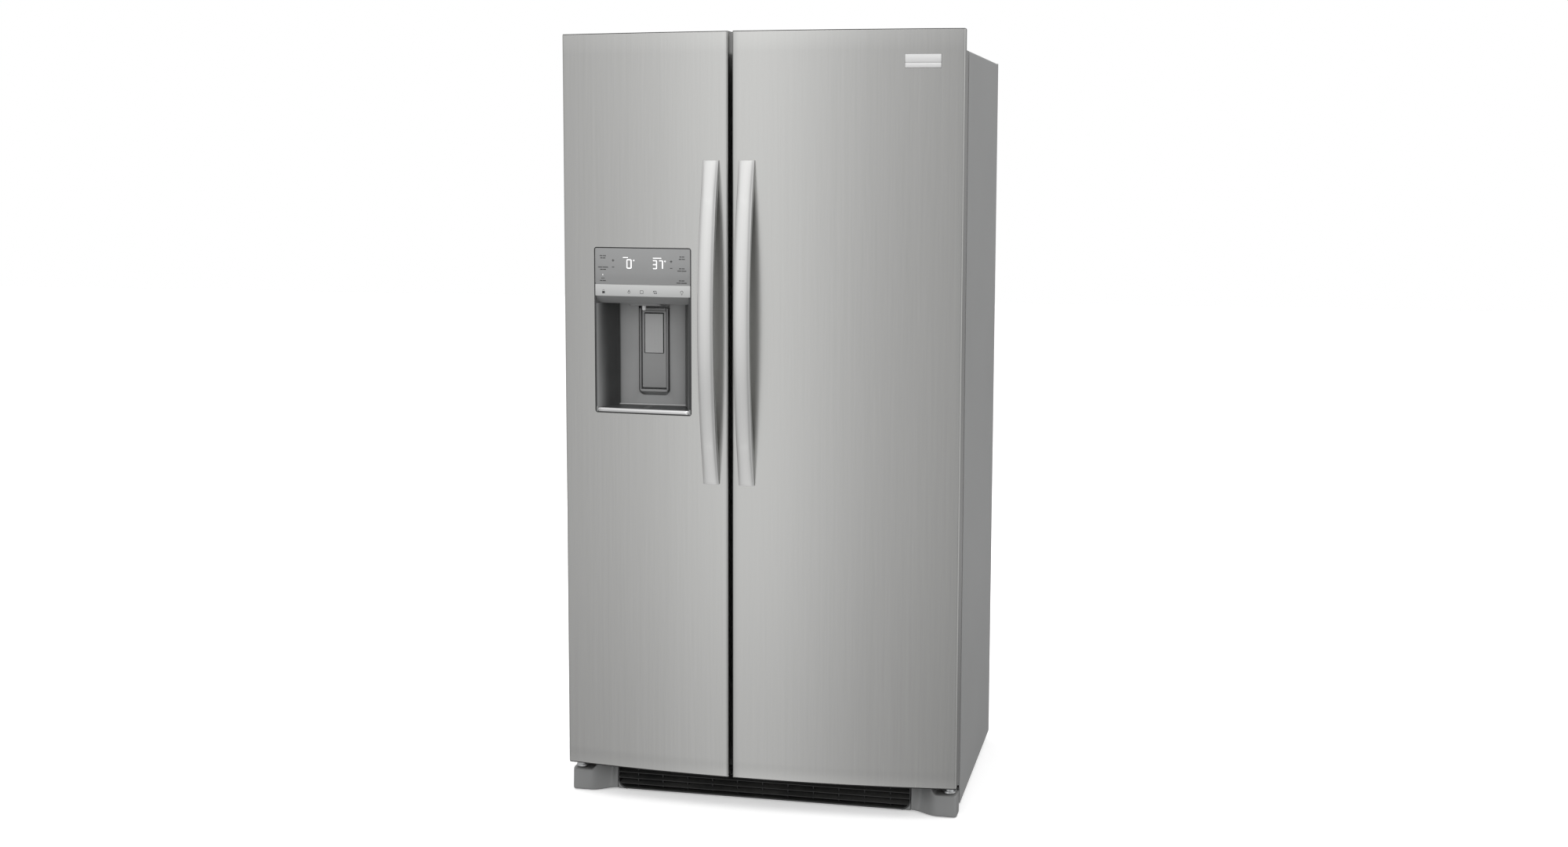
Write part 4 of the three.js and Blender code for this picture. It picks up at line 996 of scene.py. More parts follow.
def drip_tray():
    """The tray: a plate following the bow at the front and the niche at the back, with long slots cut through it."""
    rear, play = -223 * MM, 1.2 * MM
    z0, z1 = NICHE_Z[0] + 0.6 * MM, 916.4 * MM
    wall_start, wall_end = bowed(NICHE_X[0]), NICHE_BACK - NICHE_FILLET
    narrowing = NICHE_DRAFT * (rear - wall_start) / (wall_end - wall_start)
    front_xs = np.linspace(NICHE_X[0] + play, NICHE_X[1] - play, 20)
    rear_xs = np.linspace(NICHE_X[0] + play + narrowing, NICHE_X[1] - play - narrowing, 20)
    loops = [[(b, rear, z0), (a, bowed(a) + 3 * MM, z0), (a, bowed(a) + 3 * MM, z1), (b, rear, z1)]
             for a, b in zip(front_xs, rear_xs)]
    plate = built("drip_plate", *stacked(loops), tray_plastic, "tray", "dark_plastic", replaced=["drip_tray"])
    slots = [
        rounded_block((x0 * MM, y - 2.6 * MM, 911 * MM), (x1 * MM, y + 2.6 * MM, 930 * MM), 0.2 * MM, 2.5 * MM)
        for y in (np.arange(5) * -12 - 240) * MM for x0, x1 in ((-352, -270), (-259, -177))
    ]
    cut_away(plate, *gathered(*slots))
    edge = rounded_block((-352 * MM, -226 * MM, 915.5 * MM), (-177 * MM, -223 * MM, 918.5 * MM), 0.9 * MM)
    built("drip_rear_edge", *edge, strip_silver, "tray", "bright_trim")


drip_tray()


def front_bar():
    """The tray's polished front: a section that bulges forward between two edges, carried along the bow, with its
    ends drawn back to a mitre."""
    t = np.linspace(0, 1, 40)
    xs = HOLE_X0 + 3 * MM + t * (HOLE_X1 - HOLE_X0 - 6 * MM)
    turn = np.linspace(-math.pi / 2, math.pi / 2, 9)
    mitre = np.clip(np.minimum(t, 1 - t) * 36, 0, 1)
    level, half = 911.8 * MM, 5 * MM
    loops = []
    for x, y, e in zip(xs, bowed(xs), mitre):
        tall, back = 0.5 + 0.5 * e, y + 5.5 * MM
        curve = [(x, y + (3.4 - 3.2 * math.cos(a) * e) * MM, level + 5.2 * MM * math.sin(a) * tall) for a in turn]
        loops.append(curve + [(x, back, level + half * tall), (x, back, level - half * tall)])
    return stacked(loops)


built("tray_front_bar", *front_bar(), chrome, "tray", "bright_trim", angle=60)


# ---------------------------------------------------------------- feet, grille and base
# The cabinet stands on two levelling legs at the front and two rollers at the back, screwed to a steel base pan.
# A moulded shoe snaps over each front corner, and a black louvred grille clips in between them.

shoe_plastic = finish("shoe plastic", MOULDED, [(0.25, 0.253, 0.253), (0.295, 0.298, 0.298)], (0.32, 0.42), bump=0.15,
                      dust=0.2)
grille_black = finish("grille black", MOULDED, [(0.026, 0.027, 0.027), (0.038, 0.039, 0.039)], (0.26, 0.36), bump=0.15,
                      dust=0.12)
zinc = finish("bright zinc", PAINT_PEEL, [(0.6, 0.61, 0.62), (0.74, 0.75, 0.75)], (0.2, 0.38), metallic=1.0, bump=0.3)
base_steel = finish("base steel", PAINT_PEEL, [(0.38, 0.385, 0.39), (0.52, 0.525, 0.53)], (0.34, 0.52), metallic=0.9,
                    bump=0.3, dust=0.5)
wheel_plastic = finish("wheel plastic", MOULDED, [(0.55, 0.54, 0.5), (0.64, 0.63, 0.6)], (0.4, 0.5), bump=0.2,
                       dust=0.4)


def step(x, start, end):
    """A smooth rise from 0 at start to 1 at end: 3t^2 - 2t^3."""
    t = np.clip((x - start) / (end - start), 0, 1)
    return t * t * (3 - 2 * t)


SHOE_X = (349 * MM, 454 * MM)
SHOE_REAR = -219 * MM
SHOE_END = 8 * MM
GRILLE_HALF, GRILLE_ROUND, GRILLE_FOOT, GRILLE_TOP = 347.5 * MM, 22 * MM, 6 * MM, 66.5 * MM


def rear_to_front(height):
    """A rounded rectangle one unit deep, front at -0.5, its corners eased by 5 mm in height and 0.1 in depth."""
    unit = 50 * MM
    return round_rect(1.0, height / unit, 0.1, 5) * [1.0, unit]


def shoe(mirror):
    """Sections along x, each a rounded rectangle in side view. The front bulges at the outer end, is scooped to a
    waist above its straight lower edge, and comes out again beside the grille; the top dips under the hinge."""
    rounding = SHOE_X[1] - SHOE_END
    last = rounding + SHOE_END * np.sin(np.linspace(0, math.pi / 2, 8)[1:])
    xs = np.concatenate([np.linspace(SHOE_X[0], rounding, 46), last])
    bulge = step(xs, 366 * MM, 408 * MM)
    lower_lip = -(250 + 21 * step(xs, 349 * MM, 412 * MM)) * MM
    end = np.sqrt(np.clip(1 - (np.clip(xs - rounding, 0, None) / SHOE_END) ** 2, 0, 1))
    front = -(232 + 18 * (1 - step(xs, 349 * MM, 368 * MM)) + 39 * bulge) * MM
    front, lower_lip = front + (1 - end) * 10 * MM, lower_lip + (1 - end) * 10 * MM
    top = (66 - 14 * step(xs, 392 * MM, 408 * MM)) * MM
    bottom = (5.5 - 3.5 * step(xs, 352 * MM, 400 * MM)) * MM
    loops = []
    for x, y, lip, z1, z0 in zip(xs, front, lower_lip, top, bottom):
        loop = rear_to_front(z1 - z0)
        height = loop[:, 1] / (z1 - z0) + 0.5
        scooped = lip + (y - lip) * step(height, 0.05, 0.7) + 3 * MM * height
        depth = SHOE_REAR + (scooped - SHOE_REAR) * (0.5 - loop[:, 0])
        loops.append(np.column_stack([np.full(len(loop), mirror * x), depth, loop[:, 1] + (z0 + z1) / 2]))
    return gathered(stacked(loops), toe(mirror))


def toe(mirror):
    """The part of a shoe that runs in under the grille's round corner: its top follows the quarter circle."""
    xs = GRILLE_HALF - GRILLE_ROUND + np.linspace(0.5 * MM, GRILLE_ROUND, 12)
    over = xs - (GRILLE_HALF - GRILLE_ROUND)
    top = GRILLE_FOOT + GRILLE_ROUND - np.sqrt(np.clip(GRILLE_ROUND**2 - over**2, 0, None)) - 0.4 * MM
    bottom = 4.5 * MM
    loops = [[(x, SHOE_REAR, bottom), (x, -247 * MM, bottom), (x, -250 * MM, (bottom + z) / 2), (x, -249 * MM, z),
              (x, SHOE_REAR, z)] for x, z in zip(mirror * xs, np.maximum(top, bottom + 1.2 * MM))]
    return stacked(loops)


for side, mirror in (("left", -1), ("right", 1)):
    built(f"corner_shoe_{side}", *shoe(mirror), shoe_plastic, "cabinet", "gray_plastic",
          replaced=[f"foot_cover_{side}"], angle=50)


def grille_outline(half, z0, z1, radius):
    """Front view of the grille: square upper corners and quarter-round lower ones."""
    turn = np.linspace(0, math.pi / 2, 8)
    right = np.stack([half - radius + radius * np.sin(turn), z0 + radius - radius * np.cos(turn)], -1)
    return np.concatenate([[(half, z1), (-half, z1)], right[::-1] * [-1, 1], right])


def louvred_grille():
    """A back plate with rounded lower corners, a raised border that runs down the sides and round the foot, and
    four blades that slope forward and down, joined by upright webs."""
    rear, front, rim = -216 * MM, -251 * MM, 2.2 * MM
    outer = grille_outline(GRILLE_HALF, GRILLE_FOOT, GRILLE_TOP, GRILLE_ROUND)
    inner = grille_outline(GRILLE_HALF - rim, GRILLE_FOOT + 3.4 * MM, GRILLE_TOP, GRILLE_ROUND - rim)
    plate = from_front(outer, rear, -211 * MM)
    order = np.r_[1:len(outer), 0]
    border = stacked([[(a, front, c), (a, rear, c), (b, rear, d), (b, front, d)]
                      for (a, c), (b, d) in zip(outer[order], inner[order])])
    profile = ((-216, 4), (-247, -4.5), (-250.5, -4.2), (-251.5, -2.6), (-250, -1), (-216, 7))
    blades = []
    for k in range(4):
        half = GRILLE_HALF - (5 if k == 0 else 1.5) * MM
        section = [(y * MM, (22 + 13.5 * k + h) * MM) for y, h in profile]
        blades.append(stacked([[(x, y, h) for y, h in section] for x in (-half, half)]))
    webs = [rounded_block(((x - 0.9) * MM, -243 * MM, 12 * MM), ((x + 0.9) * MM, -214 * MM, 63 * MM), 0.3 * MM)
            for x in np.arange(-300, 301, 60)]
    return gathered(plate, border, *blades, *webs)


built("louvred_grille", *louvred_grille(), grille_black, "cabinet", "black_plastic", replaced=["toe_grille"],
      angle=40)


def dress(material, *nodes):
    """Gives CAD nodes a finish in place of their plain one."""
    for node in nodes:
        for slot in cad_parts[node].material_slots:
            slot.material = material


dress(base_steel, "base_pan", "drain_pan")
dress(zinc, "levelling_leg_left", "levelling_leg_right", "lower_hinge_left", "lower_hinge_right",
      "upper_hinge_left", "upper_hinge_right")


def roller(side):
    """A roller turned from a hub and a flat tread, with a raised ring on each face."""
    low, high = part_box(f"roller_{side}")
    radius, half = (high.z - low.z) / 2, (high.x - low.x) / 2
    face = np.array([(0.2, 1), (0.34, 1), (0.4, 0.7), (0.7, 0.7), (0.78, 1), (0.94, 1), (1, 0.8)])
    profile = np.concatenate([face * [1, -1], face[::-1]]) * [radius, half]
    return turned(profile, (low + high) / 2, 0)


for side in ("left", "right"):
    built(f"rear_roller_{side}", *roller(side), wheel_plastic, f"{side}_roller", "gray_plastic",
          replaced=[f"roller_{side}"], angle=35)


# ---------------------------------------------------------------- hinges
# Each door turns on a pin in a zinc-plated bracket at its foot, which is bolted behind the shoe, and on another
# at its top under a clipped gray cover. The hex head with a washer made here is used for the screws at the back.


def hex_head(x, y, z, across=8 * MM, height=4 * MM, up=1, axis=2):
    """A washer and a hex head with eased corners, turned round the axis."""
    washer = turned(
        [(across * 0.62, 0), (across * 0.78, 0.2 * MM), (across * 0.78, 1 * MM), (across * 0.7, 1.2 * MM)],
        (0, 0, 0), axis,
    )
    head = turned([(across * 0.55, 1 * MM), (across * 0.58, 1.4 * MM), (across * 0.58, height),
                   (across * 0.5, height + 0.6 * MM)], (0, 0, 0), axis, segments=6)
    points, faces = gathered(washer, head)
    points = points.copy()
    points[:, axis] *= up
    return points + [x, y, z], faces


PIVOT = (435.5 * MM, -248 * MM)
COLLAR = np.array([(7.5, 64.5), (8.6, 65.5), (8.6, 70.2), (6.2, 71.2), (6.2, 73.5)]) * MM
NUT = np.array([(5.0, 54), (6.6, 55), (6.6, 58.5), (5.6, 59.2)]) * MM
pins = []
for x in (-PIVOT[0], PIVOT[0]):
    pins += [turned(COLLAR, (x, PIVOT[1], 0.0)), turned(NUT, (x, PIVOT[1] - 1.5 * MM, 0.0), segments=6)]
built("hinge_pins", *gathered(*pins), zinc, "cabinet", "zinc", angle=40)

cover_plastic = finish("cover plastic", MOULDED, [(0.2, 0.204, 0.204), (0.235, 0.238, 0.238)], (0.4, 0.5), bump=0.2,
                       dust=0.45)


def hinge_cap(side):
    """A cap over the upper hinge: a rounded block whose top is domed by a cosine across its width and depth."""
    low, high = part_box(f"hinge_cover_{side}")
    points, faces = rounded_block((low.x, low.y, low.z + 0.3 * MM), (high.x, high.y, high.z), 5 * MM, 9 * MM)
    u = (points[:, 0] - low.x) / (high.x - low.x) * 2 - 1
    v = (points[:, 1] - low.y) / (high.y - low.y) * 2 - 1
    upper = points[:, 2] > low.z + 8 * MM
    points[:, 2] -= np.where(upper, 2.5 * MM * (1 - np.cos(u * 1.2) * np.cos(v * 1.2)), 0)
    return points, faces


for side in ("left", "right"):
    built(f"hinge_cap_{side}", *hinge_cap(side), cover_plastic, "cabinet", "gray_plastic",
          replaced=[f"hinge_cover_{side}"])


# ---------------------------------------------------------------- foam and liners
# Behind the steel is blown polyurethane foam, hidden once the liners are in. Each compartment is one white
# vacuum-formed liner with ledges moulded into its side walls for the shelves and runners.

foam_yellow = finish("blown foam", MOULDED, [(0.62, 0.52, 0.3), (0.72, 0.62, 0.4)], (0.8, 0.95), bump=0.6,
                     grain={"Scale": 260.0})
liner_white = finish("liner white", MOULDED, [(0.78, 0.785, 0.785), (0.84, 0.845, 0.845)], (0.26, 0.36), bump=0.06)
dress(foam_yellow, "cabinet_foam")
dress(liner_white, "freezer_liner", "fridge_liner", "freezer_inner_door", "fridge_inner_door")

REAR_WALL = 330 * MM


def ledges(x0, x1, heights, y0, y1):
    """Pairs of rounded ledges on the two side walls, just under each height."""
    sides = ((x0 - 0.5 * MM, x0 + 7 * MM), (x1 - 7 * MM, x1 + 0.5 * MM))
    return gathered(*[
        rounded_block((a, y0, z - 11 * MM), (b, y1, z - 1 * MM), 2.5 * MM, axis=1) for z in heights for a, b in sides
    ])


fridge_levels = [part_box(n)[0].z for n in ("fridge_shelf_upper", "fridge_shelf_middle")]
freezer_levels = [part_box(n)[0].z for n in ("freezer_shelf_upper", "freezer_shelf_lower")]
built("fridge_ledges", *ledges(*FRIDGE_X, fridge_levels, -85 * MM, 316 * MM), liner_white, "cabinet", "white_plastic")
built("freezer_ledges", *ledges(*FREEZER_X, freezer_levels, -85 * MM, 250 * MM), liner_white, "cabinet",
      "white_plastic")

lamp_glow = finish("lamp diffuser", MOULDED, [(0.86, 0.87, 0.88), (0.9, 0.905, 0.91)], (0.3, 0.4), bump=0.05,
                   Emission_Color=(1.0, 0.98, 0.94, 1.0), Emission_Strength=0.5)
vent_gray = finish("vent gray", MOULDED, [(0.5, 0.51, 0.515), (0.56, 0.57, 0.575)], (0.35, 0.45), bump=0.1)


def compartment_lamp(name, x, z):
    """A shallow diffuser with a rounded rim under the ceiling, in a slim gray frame."""
    diffuser = rounded_block(
        (x - 70 * MM, -60 * MM, z - 9 * MM), (x + 70 * MM, -10 * MM, z + 0.3 * MM), 4 * MM, 12 * MM,
    )
    built(f"{name}_lamp", *diffuser, lamp_glow, "cabinet", "white_plastic")
    frame_bars = [((-76, -66, -4), (76, -60.5, 0.3)), ((-76, -9.5, -4), (76, -4, 0.3)),
                  ((-76, -60.5, -4), (-70.5, -9.5, 0.3)), ((70.5, -60.5, -4), (76, -9.5, 0.3))]
    bars = [rounded_block((x + a[0] * MM, a[1] * MM, z + a[2] * MM), (x + b[0] * MM, b[1] * MM, z + b[2] * MM),
                          1 * MM) for a, b in frame_bars]
    built(f"{name}_lamp_frame", *gathered(*bars), vent_gray, "cabinet", "gray_plastic")


CEILING = OPENING_Z[1]
compartment_lamp("fridge", sum(FRIDGE_X) / 2, CEILING)
compartment_lamp("freezer", sum(FREEZER_X) / 2, CEILING)


def air_tower(x, z0, z1):
    """The cold-air duct on the rear wall: a shallow rounded tower with pairs of louvre slots."""
    duct = rounded_block(
        (x - 75 * MM, REAR_WALL - 22 * MM, z0), (x + 75 * MM, REAR_WALL - 0.2 * MM, z1), 5 * MM, 14 * MM, axis=1,
    )
    tower = built("air_tower", *duct, liner_white, "cabinet", "white_plastic")
    slots = [
        rounded_block((x + s - 26 * MM, REAR_WALL - 30 * MM, z), (x + s + 26 * MM, REAR_WALL - 15 * MM, z + 5 * MM),
                      1 * MM, 2.4 * MM, axis=1)
        for z in np.arange(z0 + 45 * MM, z1 - 30 * MM, 110 * MM) for s in (-32 * MM, 32 * MM)
    ]
    lower = [(points + [0, 0, 11 * MM], faces) for points, faces in slots]
    cut_away(tower, *gathered(*slots, *lower))


air_tower(sum(FRIDGE_X) / 2, 660 * MM, 1560 * MM)


# ---------------------------------------------------------------- shelves
# The fresh-food shelves are tempered glass set in white moulded rims. The freezer shelves are white coated wire
# with a heavier front rail.

shelf_glass = finish("shelf glass", PAINT_PEEL, [(0.7, 0.84, 0.8), (0.76, 0.88, 0.85)], (0.05, 0.1), bump=0.0,
                     Transmission_Weight=0.85, Alpha=0.55)
white_wire = finish("coated wire", MOULDED, [(0.8, 0.805, 0.8), (0.86, 0.865, 0.86)], (0.25, 0.35), bump=0.05)
dress(shelf_glass, "fridge_shelf_upper", "fridge_shelf_middle", "crisper_cover")


def shelf_rim(node):
    """A white rim: a deep rounded front rail with a finger edge, two side rails and a rear stop."""
    (x0, y0, z0), (x1, y1, z1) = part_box(node)
    rails = [
        rounded_block((x0, y0 - 4 * MM, z0 - 7 * MM), (x1, y0 + 10 * MM, z1 + 2.5 * MM), 3 * MM, axis=0),
        rounded_block((x0 - 0.5 * MM, y0 + 8 * MM, z0 - 0.6 * MM), (x0 + 9 * MM, y1, z1 + 1.6 * MM), 1 * MM, axis=1),
        rounded_block((x1 - 9 * MM, y0 + 8 * MM, z0 - 0.6 * MM), (x1 + 0.5 * MM, y1, z1 + 1.6 * MM), 1 * MM, axis=1),
        rounded_block((x0, y1 - 8 * MM, z0 - 0.6 * MM), (x1, y1, z1 + 8 * MM), 2 * MM, axis=0),
    ]
    return gathered(*rails)


for shelf in ("fridge_shelf_upper", "fridge_shelf_middle", "crisper_cover"):
    built(f"{shelf}_rim", *shelf_rim(shelf), liner_white, "cabinet", "white_plastic")


def wire(points, radius, segments=8):
    """A round wire along a path: rings square to the path, with the bisecting plane at each bend."""
    points = np.asarray(points, float)
    ahead = np.gradient(points, axis=0)
    ahead /= np.linalg.norm(ahead, axis=1, keepdims=True)
    span = points[-1] - points[0]
    side = np.cross(span, [0.31, 0.17, 0.93])
    side = side / np.linalg.norm(side)
    u = side - (ahead @ side)[:, None] * ahead
    u /= np.linalg.norm(u, axis=1, keepdims=True)
    v = np.cross(ahead, u)
    turn = np.linspace(0, 2 * math.pi, segments, endpoint=False)
    rings = points[:, None, :] + radius * (np.cos(turn)[None, :, None] * u[:, None, :]
                                           + np.sin(turn)[None, :, None] * v[:, None, :])
    return stacked(rings)


def wire_shelf(node):
    """Rods from front to back, turned down at the front, over three cross rods and two front rails."""
    low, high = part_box(node)
    z = (low.z + high.z) / 2
    rods = []
    for x in np.linspace(low.x + 6 * MM, high.x - 6 * MM, 21):
        rods.append(wire([(x, low.y + 3 * MM, z - 16 * MM), (x, low.y + 2 * MM, z - 4 * MM),
                          (x, low.y + 6 * MM, z + 1 * MM), (x, high.y - 2 * MM, z + 1 * MM)], 1.5 * MM, 6))
    for y in (low.y + 40 * MM, (low.y + high.y) / 2, high.y - 8 * MM):
        rods.append(wire([(low.x, y, z - 2.4 * MM), (high.x, y, z - 2.4 * MM)], 2.4 * MM))
    for dz in (-3, -15):
        rods.append(wire([(low.x, low.y + 5 * MM, z + dz * MM), (high.x, low.y + 5 * MM, z + dz * MM)], 2.2 * MM))
    return gathered(*rods)


for shelf in ("freezer_shelf_upper", "freezer_shelf_lower"):
    built(f"{shelf}_wires", *wire_shelf(shelf), white_wire, "cabinet", "white_wire", replaced=[shelf], angle=60)


# ---------------------------------------------------------------- drawers, door bins and ice maker
# Two clear drawers with white fronts run under the glass cover, and a wire basket runs in the freezer. The doors
# carry clear moulded bins hooked over bosses, and the wide one a dairy box behind a hinged clear lid.

clear_plastic = finish("clear plastic", MOULDED, [(0.8, 0.86, 0.88), (0.86, 0.9, 0.92)], (0.06, 0.14), bump=0.02,
                       Transmission_Weight=0.6, Alpha=0.42)
drawer_front = finish("drawer front", MOULDED, [(0.74, 0.76, 0.77), (0.8, 0.82, 0.83)], (0.2, 0.3), bump=0.05)


def tub(low, high, wall, corner, draft=0.0):
    """An open tub: rounded rectangles stacked up the outside, over a rolled rim and down the inside."""
    low, high = np.asarray(low, float), np.asarray(high, float)
    centre, size = (low + high) / 2, high - low
    rise = np.array([0, 0.0, 0.06, 0.5, 1.0, 1.0, 1.0, 0.5, 0.06, 0.06])
    inner = np.array([0, 0, 0, 0, 0, 0.3, 1, 1, 1, 1], float)
    edge = np.array([6 * MM, 1.5 * MM, 0, 0, 0, 0, 0, 0, 0, 5 * MM])
    loops = []
    for t, i, e in zip(rise, inner, edge):
        inset = i * wall + e + draft * (1 - t)
        z = low[2] + max(t * size[2], wall if i == 1 else 0.0)
        flat = round_rect(size[0] - 2 * inset, size[1] - 2 * inset, max(corner - inset * 0.6, 2 * MM), 6)
        loops.append(np.column_stack([flat + centre[:2], np.full(len(flat), z)]))
    return stacked(loops)


def door_bin(side, index):
    """A clear bin with a thick white rim band and two shallow bars along its front."""
    node = f"{side}_bin_{index}"
    low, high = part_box(node)
    built(f"{side}_clear_bin_{index}", *tub(low, high, 2.4 * MM, 16 * MM, 3 * MM), clear_plastic, f"{side}_door",
          "clear_plastic", replaced=[node], angle=50)
    x0, x1, y, z = low.x + 14 * MM, high.x - 14 * MM, high.y, high.z
    bars = [
        rounded_block((x0, y - 1.5 * MM, z - 12 * MM), (x1, y + 0.8 * MM, z - 1 * MM), 1 * MM, 3 * MM, axis=1),
        rounded_block((x0, y - 3 * MM, z - 44 * MM), (x1, y - 0.4 * MM, z - 36 * MM), 1 * MM, 3 * MM, axis=1),
    ]
    built(f"{side}_bin_band_{index}", *gathered(*bars), liner_white, f"{side}_door", "white_plastic")


for side in ("freezer", "fridge"):
    for index in (1, 2, 3):
        door_bin(side, index)

dress(clear_plastic, "dairy_lid")
low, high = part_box("dairy_lid")
grip = rounded_block(
    (low.x + 90 * MM, high.y - 3 * MM, low.z + 1 * MM), (high.x - 90 * MM, high.y - 0.3 * MM, low.z + 9 * MM),
    1 * MM, 3 * MM, axis=0,
)
built("lid_grip", *grip, liner_white, "lid", "white_plastic")


def drawer(node, body, name):
    """A clear tub behind a white front plate that has a rolled grip along its upper edge."""
    low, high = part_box(node)
    x0, x1, y, z0, z1 = low.x, high.x, low.y, low.z, high.z
    box = tub((x0 + 2 * MM, y + 6 * MM, z0), (x1 - 2 * MM, high.y, z1), 2.5 * MM, 14 * MM, 4 * MM)
    built(f"{name}_tub", *box, clear_plastic, body, "clear_plastic", replaced=[node], angle=50)
    face = [
        rounded_block((x0 + 1 * MM, y + 1 * MM, z0 + 2 * MM), (x1 - 1 * MM, y + 6.5 * MM, z1 - 1 * MM),
                      2 * MM, 8 * MM, axis=1),
        rounded_block((x0 + 30 * MM, y - 0.5 * MM, z1 - 16 * MM), (x1 - 30 * MM, y + 5 * MM, z1 - 2 * MM),
                      2.4 * MM, axis=0),
    ]
    built(f"{name}_front", *gathered(*face), drawer_front, body, "white_plastic")


drawer("crisper_upper", "upper_crisper", "upper_drawer")
drawer("crisper_lower", "lower_crisper", "lower_drawer")


def wire_basket(node):
    """A basket of bent wires: U shapes across and along it, on a heavy top ring and a middle ring."""
    low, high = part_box(node)
    r = 1.6 * MM
    x0, x1, y0, y1 = low.x + 4 * MM, high.x - 4 * MM, low.y + 4 * MM, high.y - 4 * MM
    z0, z1 = low.z + 2 * MM, high.z - 4 * MM
    wires = []
    for y in np.linspace(y0 + 12 * MM, y1 - 12 * MM, 14):
        wires.append(wire([(x0, y, z1), (x0 + 4 * MM, y, z0 + 8 * MM), (x0 + 12 * MM, y, z0), (x1 - 12 * MM, y, z0),
                           (x1 - 4 * MM, y, z0 + 8 * MM), (x1, y, z1)], r, 6))
    for x in np.linspace(x0 + 14 * MM, x1 - 14 * MM, 13):
        wires.append(wire([(x, y0, z1), (x, y0 + 4 * MM, z0 + 10 * MM), (x, y0 + 12 * MM, z0 + 2.6 * MM),
                           (x, y1 - 12 * MM, z0 + 2.6 * MM), (x, y1 - 4 * MM, z0 + 10 * MM), (x, y1, z1)], r, 6))
    centre = ((x0 + x1) / 2, (y0 + y1) / 2)
    for z, thick, extra in ((z1, 3 * MM, 1 * MM), ((z0 + z1) / 2, 1.8 * MM, -1.5 * MM)):
        flat = round_rect(x1 - x0 + 2 * extra, y1 - y0 + 2 * extra, 14 * MM, 6)
        turn = np.linspace(0, 2 * math.pi, 8, endpoint=False)
        out = flat / np.linalg.norm(flat, axis=1, keepdims=True)
        rings = np.zeros((8, len(flat), 3))
        rings[:, :, :2] = flat + centre + thick * np.cos(turn)[:, None, None] * out
        rings[:, :, 2] = z + thick * np.sin(turn)[:, None]
        faces = loop_faces(9, len(flat)) % (8 * len(flat))
        wires.append((rings.reshape(-1, 3), faces.tolist()))
    return gathered(*wires)


built("freezer_wire_basket", *wire_basket("freezer_basket"), white_wire, "basket", "white_wire",
      replaced=["freezer_basket"], angle=60)
low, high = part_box("freezer_basket")
grip = rounded_block(
    (low.x + 60 * MM, low.y - 0.5 * MM, high.z - 34 * MM), (high.x - 60 * MM, low.y + 7 * MM, high.z - 10 * MM),
    2 * MM, 4 * MM, axis=1,
)
built("basket_grip", *grip, drawer_front, "basket", "white_plastic")

low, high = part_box("ice_bin")
built("ice_tub", *tub(low, high, 2.8 * MM, 18 * MM, 3 * MM), clear_plastic, "cabinet", "clear_plastic",
      replaced=["ice_bin"], angle=50)
tub_front = rounded_block(
    (low.x + 2 * MM, low.y - 0.6 * MM, low.z + 10 * MM), (high.x - 2 * MM, low.y + 3 * MM, high.z),
    1.2 * MM, 12 * MM, axis=1,
)
built("ice_tub_front", *tub_front, drawer_front, "cabinet", "white_plastic")


def ice_maker():
    """A rounded housing with a half-round mould below it, ejector fingers over the mould, and a sensing arm."""
    (x0, y0, z0), (x1, y1, z1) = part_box("ice_maker")
    case = rounded_block((x0, y0, z0 + 30 * MM), (x0 + 60 * MM, y1, z1), 5 * MM, 10 * MM)
    turn = np.linspace(math.pi, 2 * math.pi, 13)
    middle, reach = (y0 + y1) / 2, (y1 - y0) / 2 - 4 * MM
    section = [(middle + reach * math.cos(a), z0 + 46 * MM + 42 * MM * math.sin(a)) for a in turn]
    section += [(middle + (reach - 4 * MM) * math.cos(a), z0 + 46 * MM + 38 * MM * math.sin(a)) for a in turn[::-1]]
    mould = [[(x, y, z) for y, z in section] for x in (x0 + 60 * MM, x1)]
    fingers = [
        rounded_block((x - 2 * MM, middle - 4 * MM, z0 + 44 * MM), (x + 2 * MM, middle + 44 * MM, z0 + 50 * MM), 1 * MM)
        for x in np.arange(x0 + 80 * MM, x1 - 10 * MM, 27 * MM)
    ]
    arm = wire([(x0 + 64 * MM, y0 + 2 * MM, z0 + 60 * MM), (x0 + 72 * MM, y0 - 4 * MM, z0 + 20 * MM),
                (x0 + 100 * MM, y0 - 5 * MM, z0 + 6 * MM), (x1 - 30 * MM, y0 - 5 * MM, z0 + 6 * MM)], 1.6 * MM)
    return gathered(case, as_cross_strips(np.array(mould)), *fingers), arm


maker, arm = ice_maker()
built("ice_maker_unit", *maker, liner_white, "cabinet", "white_plastic", replaced=["ice_maker"])
built("ice_level_arm", *arm, zinc, "cabinet", "zinc", angle=60)


# ---------------------------------------------------------------- machine space and back
# The back is a plain zinc-coated sheet screwed round its edge. Below it a slotted board covers the compressor,
# the coiled condenser and its fan. The cord's moulded gland sits in the board's corner.

black_paint = finish("black paint", PAINT_PEEL, [(0.018, 0.018, 0.019), (0.03, 0.03, 0.031)], (0.3, 0.45), bump=0.5,
                     dust=0.35)
galvanized = finish("galvanized sheet", PAINT_PEEL, [(0.46, 0.47, 0.475), (0.58, 0.59, 0.595)], (0.36, 0.52),
                    metallic=0.85, bump=0.15, grain={"Scale": 60.0}, dust=0.2)
aluminium = finish("bare aluminium", BRUSHED, [(0.66, 0.665, 0.67), (0.78, 0.785, 0.79)], (0.3, 0.42), metallic=1.0,
                   bump=0.1, grain={"Grain": (1.0, 0.05, 1.0)})
dress(galvanized, "back_panel")
dress(black_paint, "compressor", "condenser", "fan_shroud", "condenser_fan", "cord_gland")
dress(frame_plastic, "rear_cover")
dress(aluminium, "evaporator", "ice_auger")
dress(liner_white, "evaporator_cover")

back_low, back_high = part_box("back_panel")


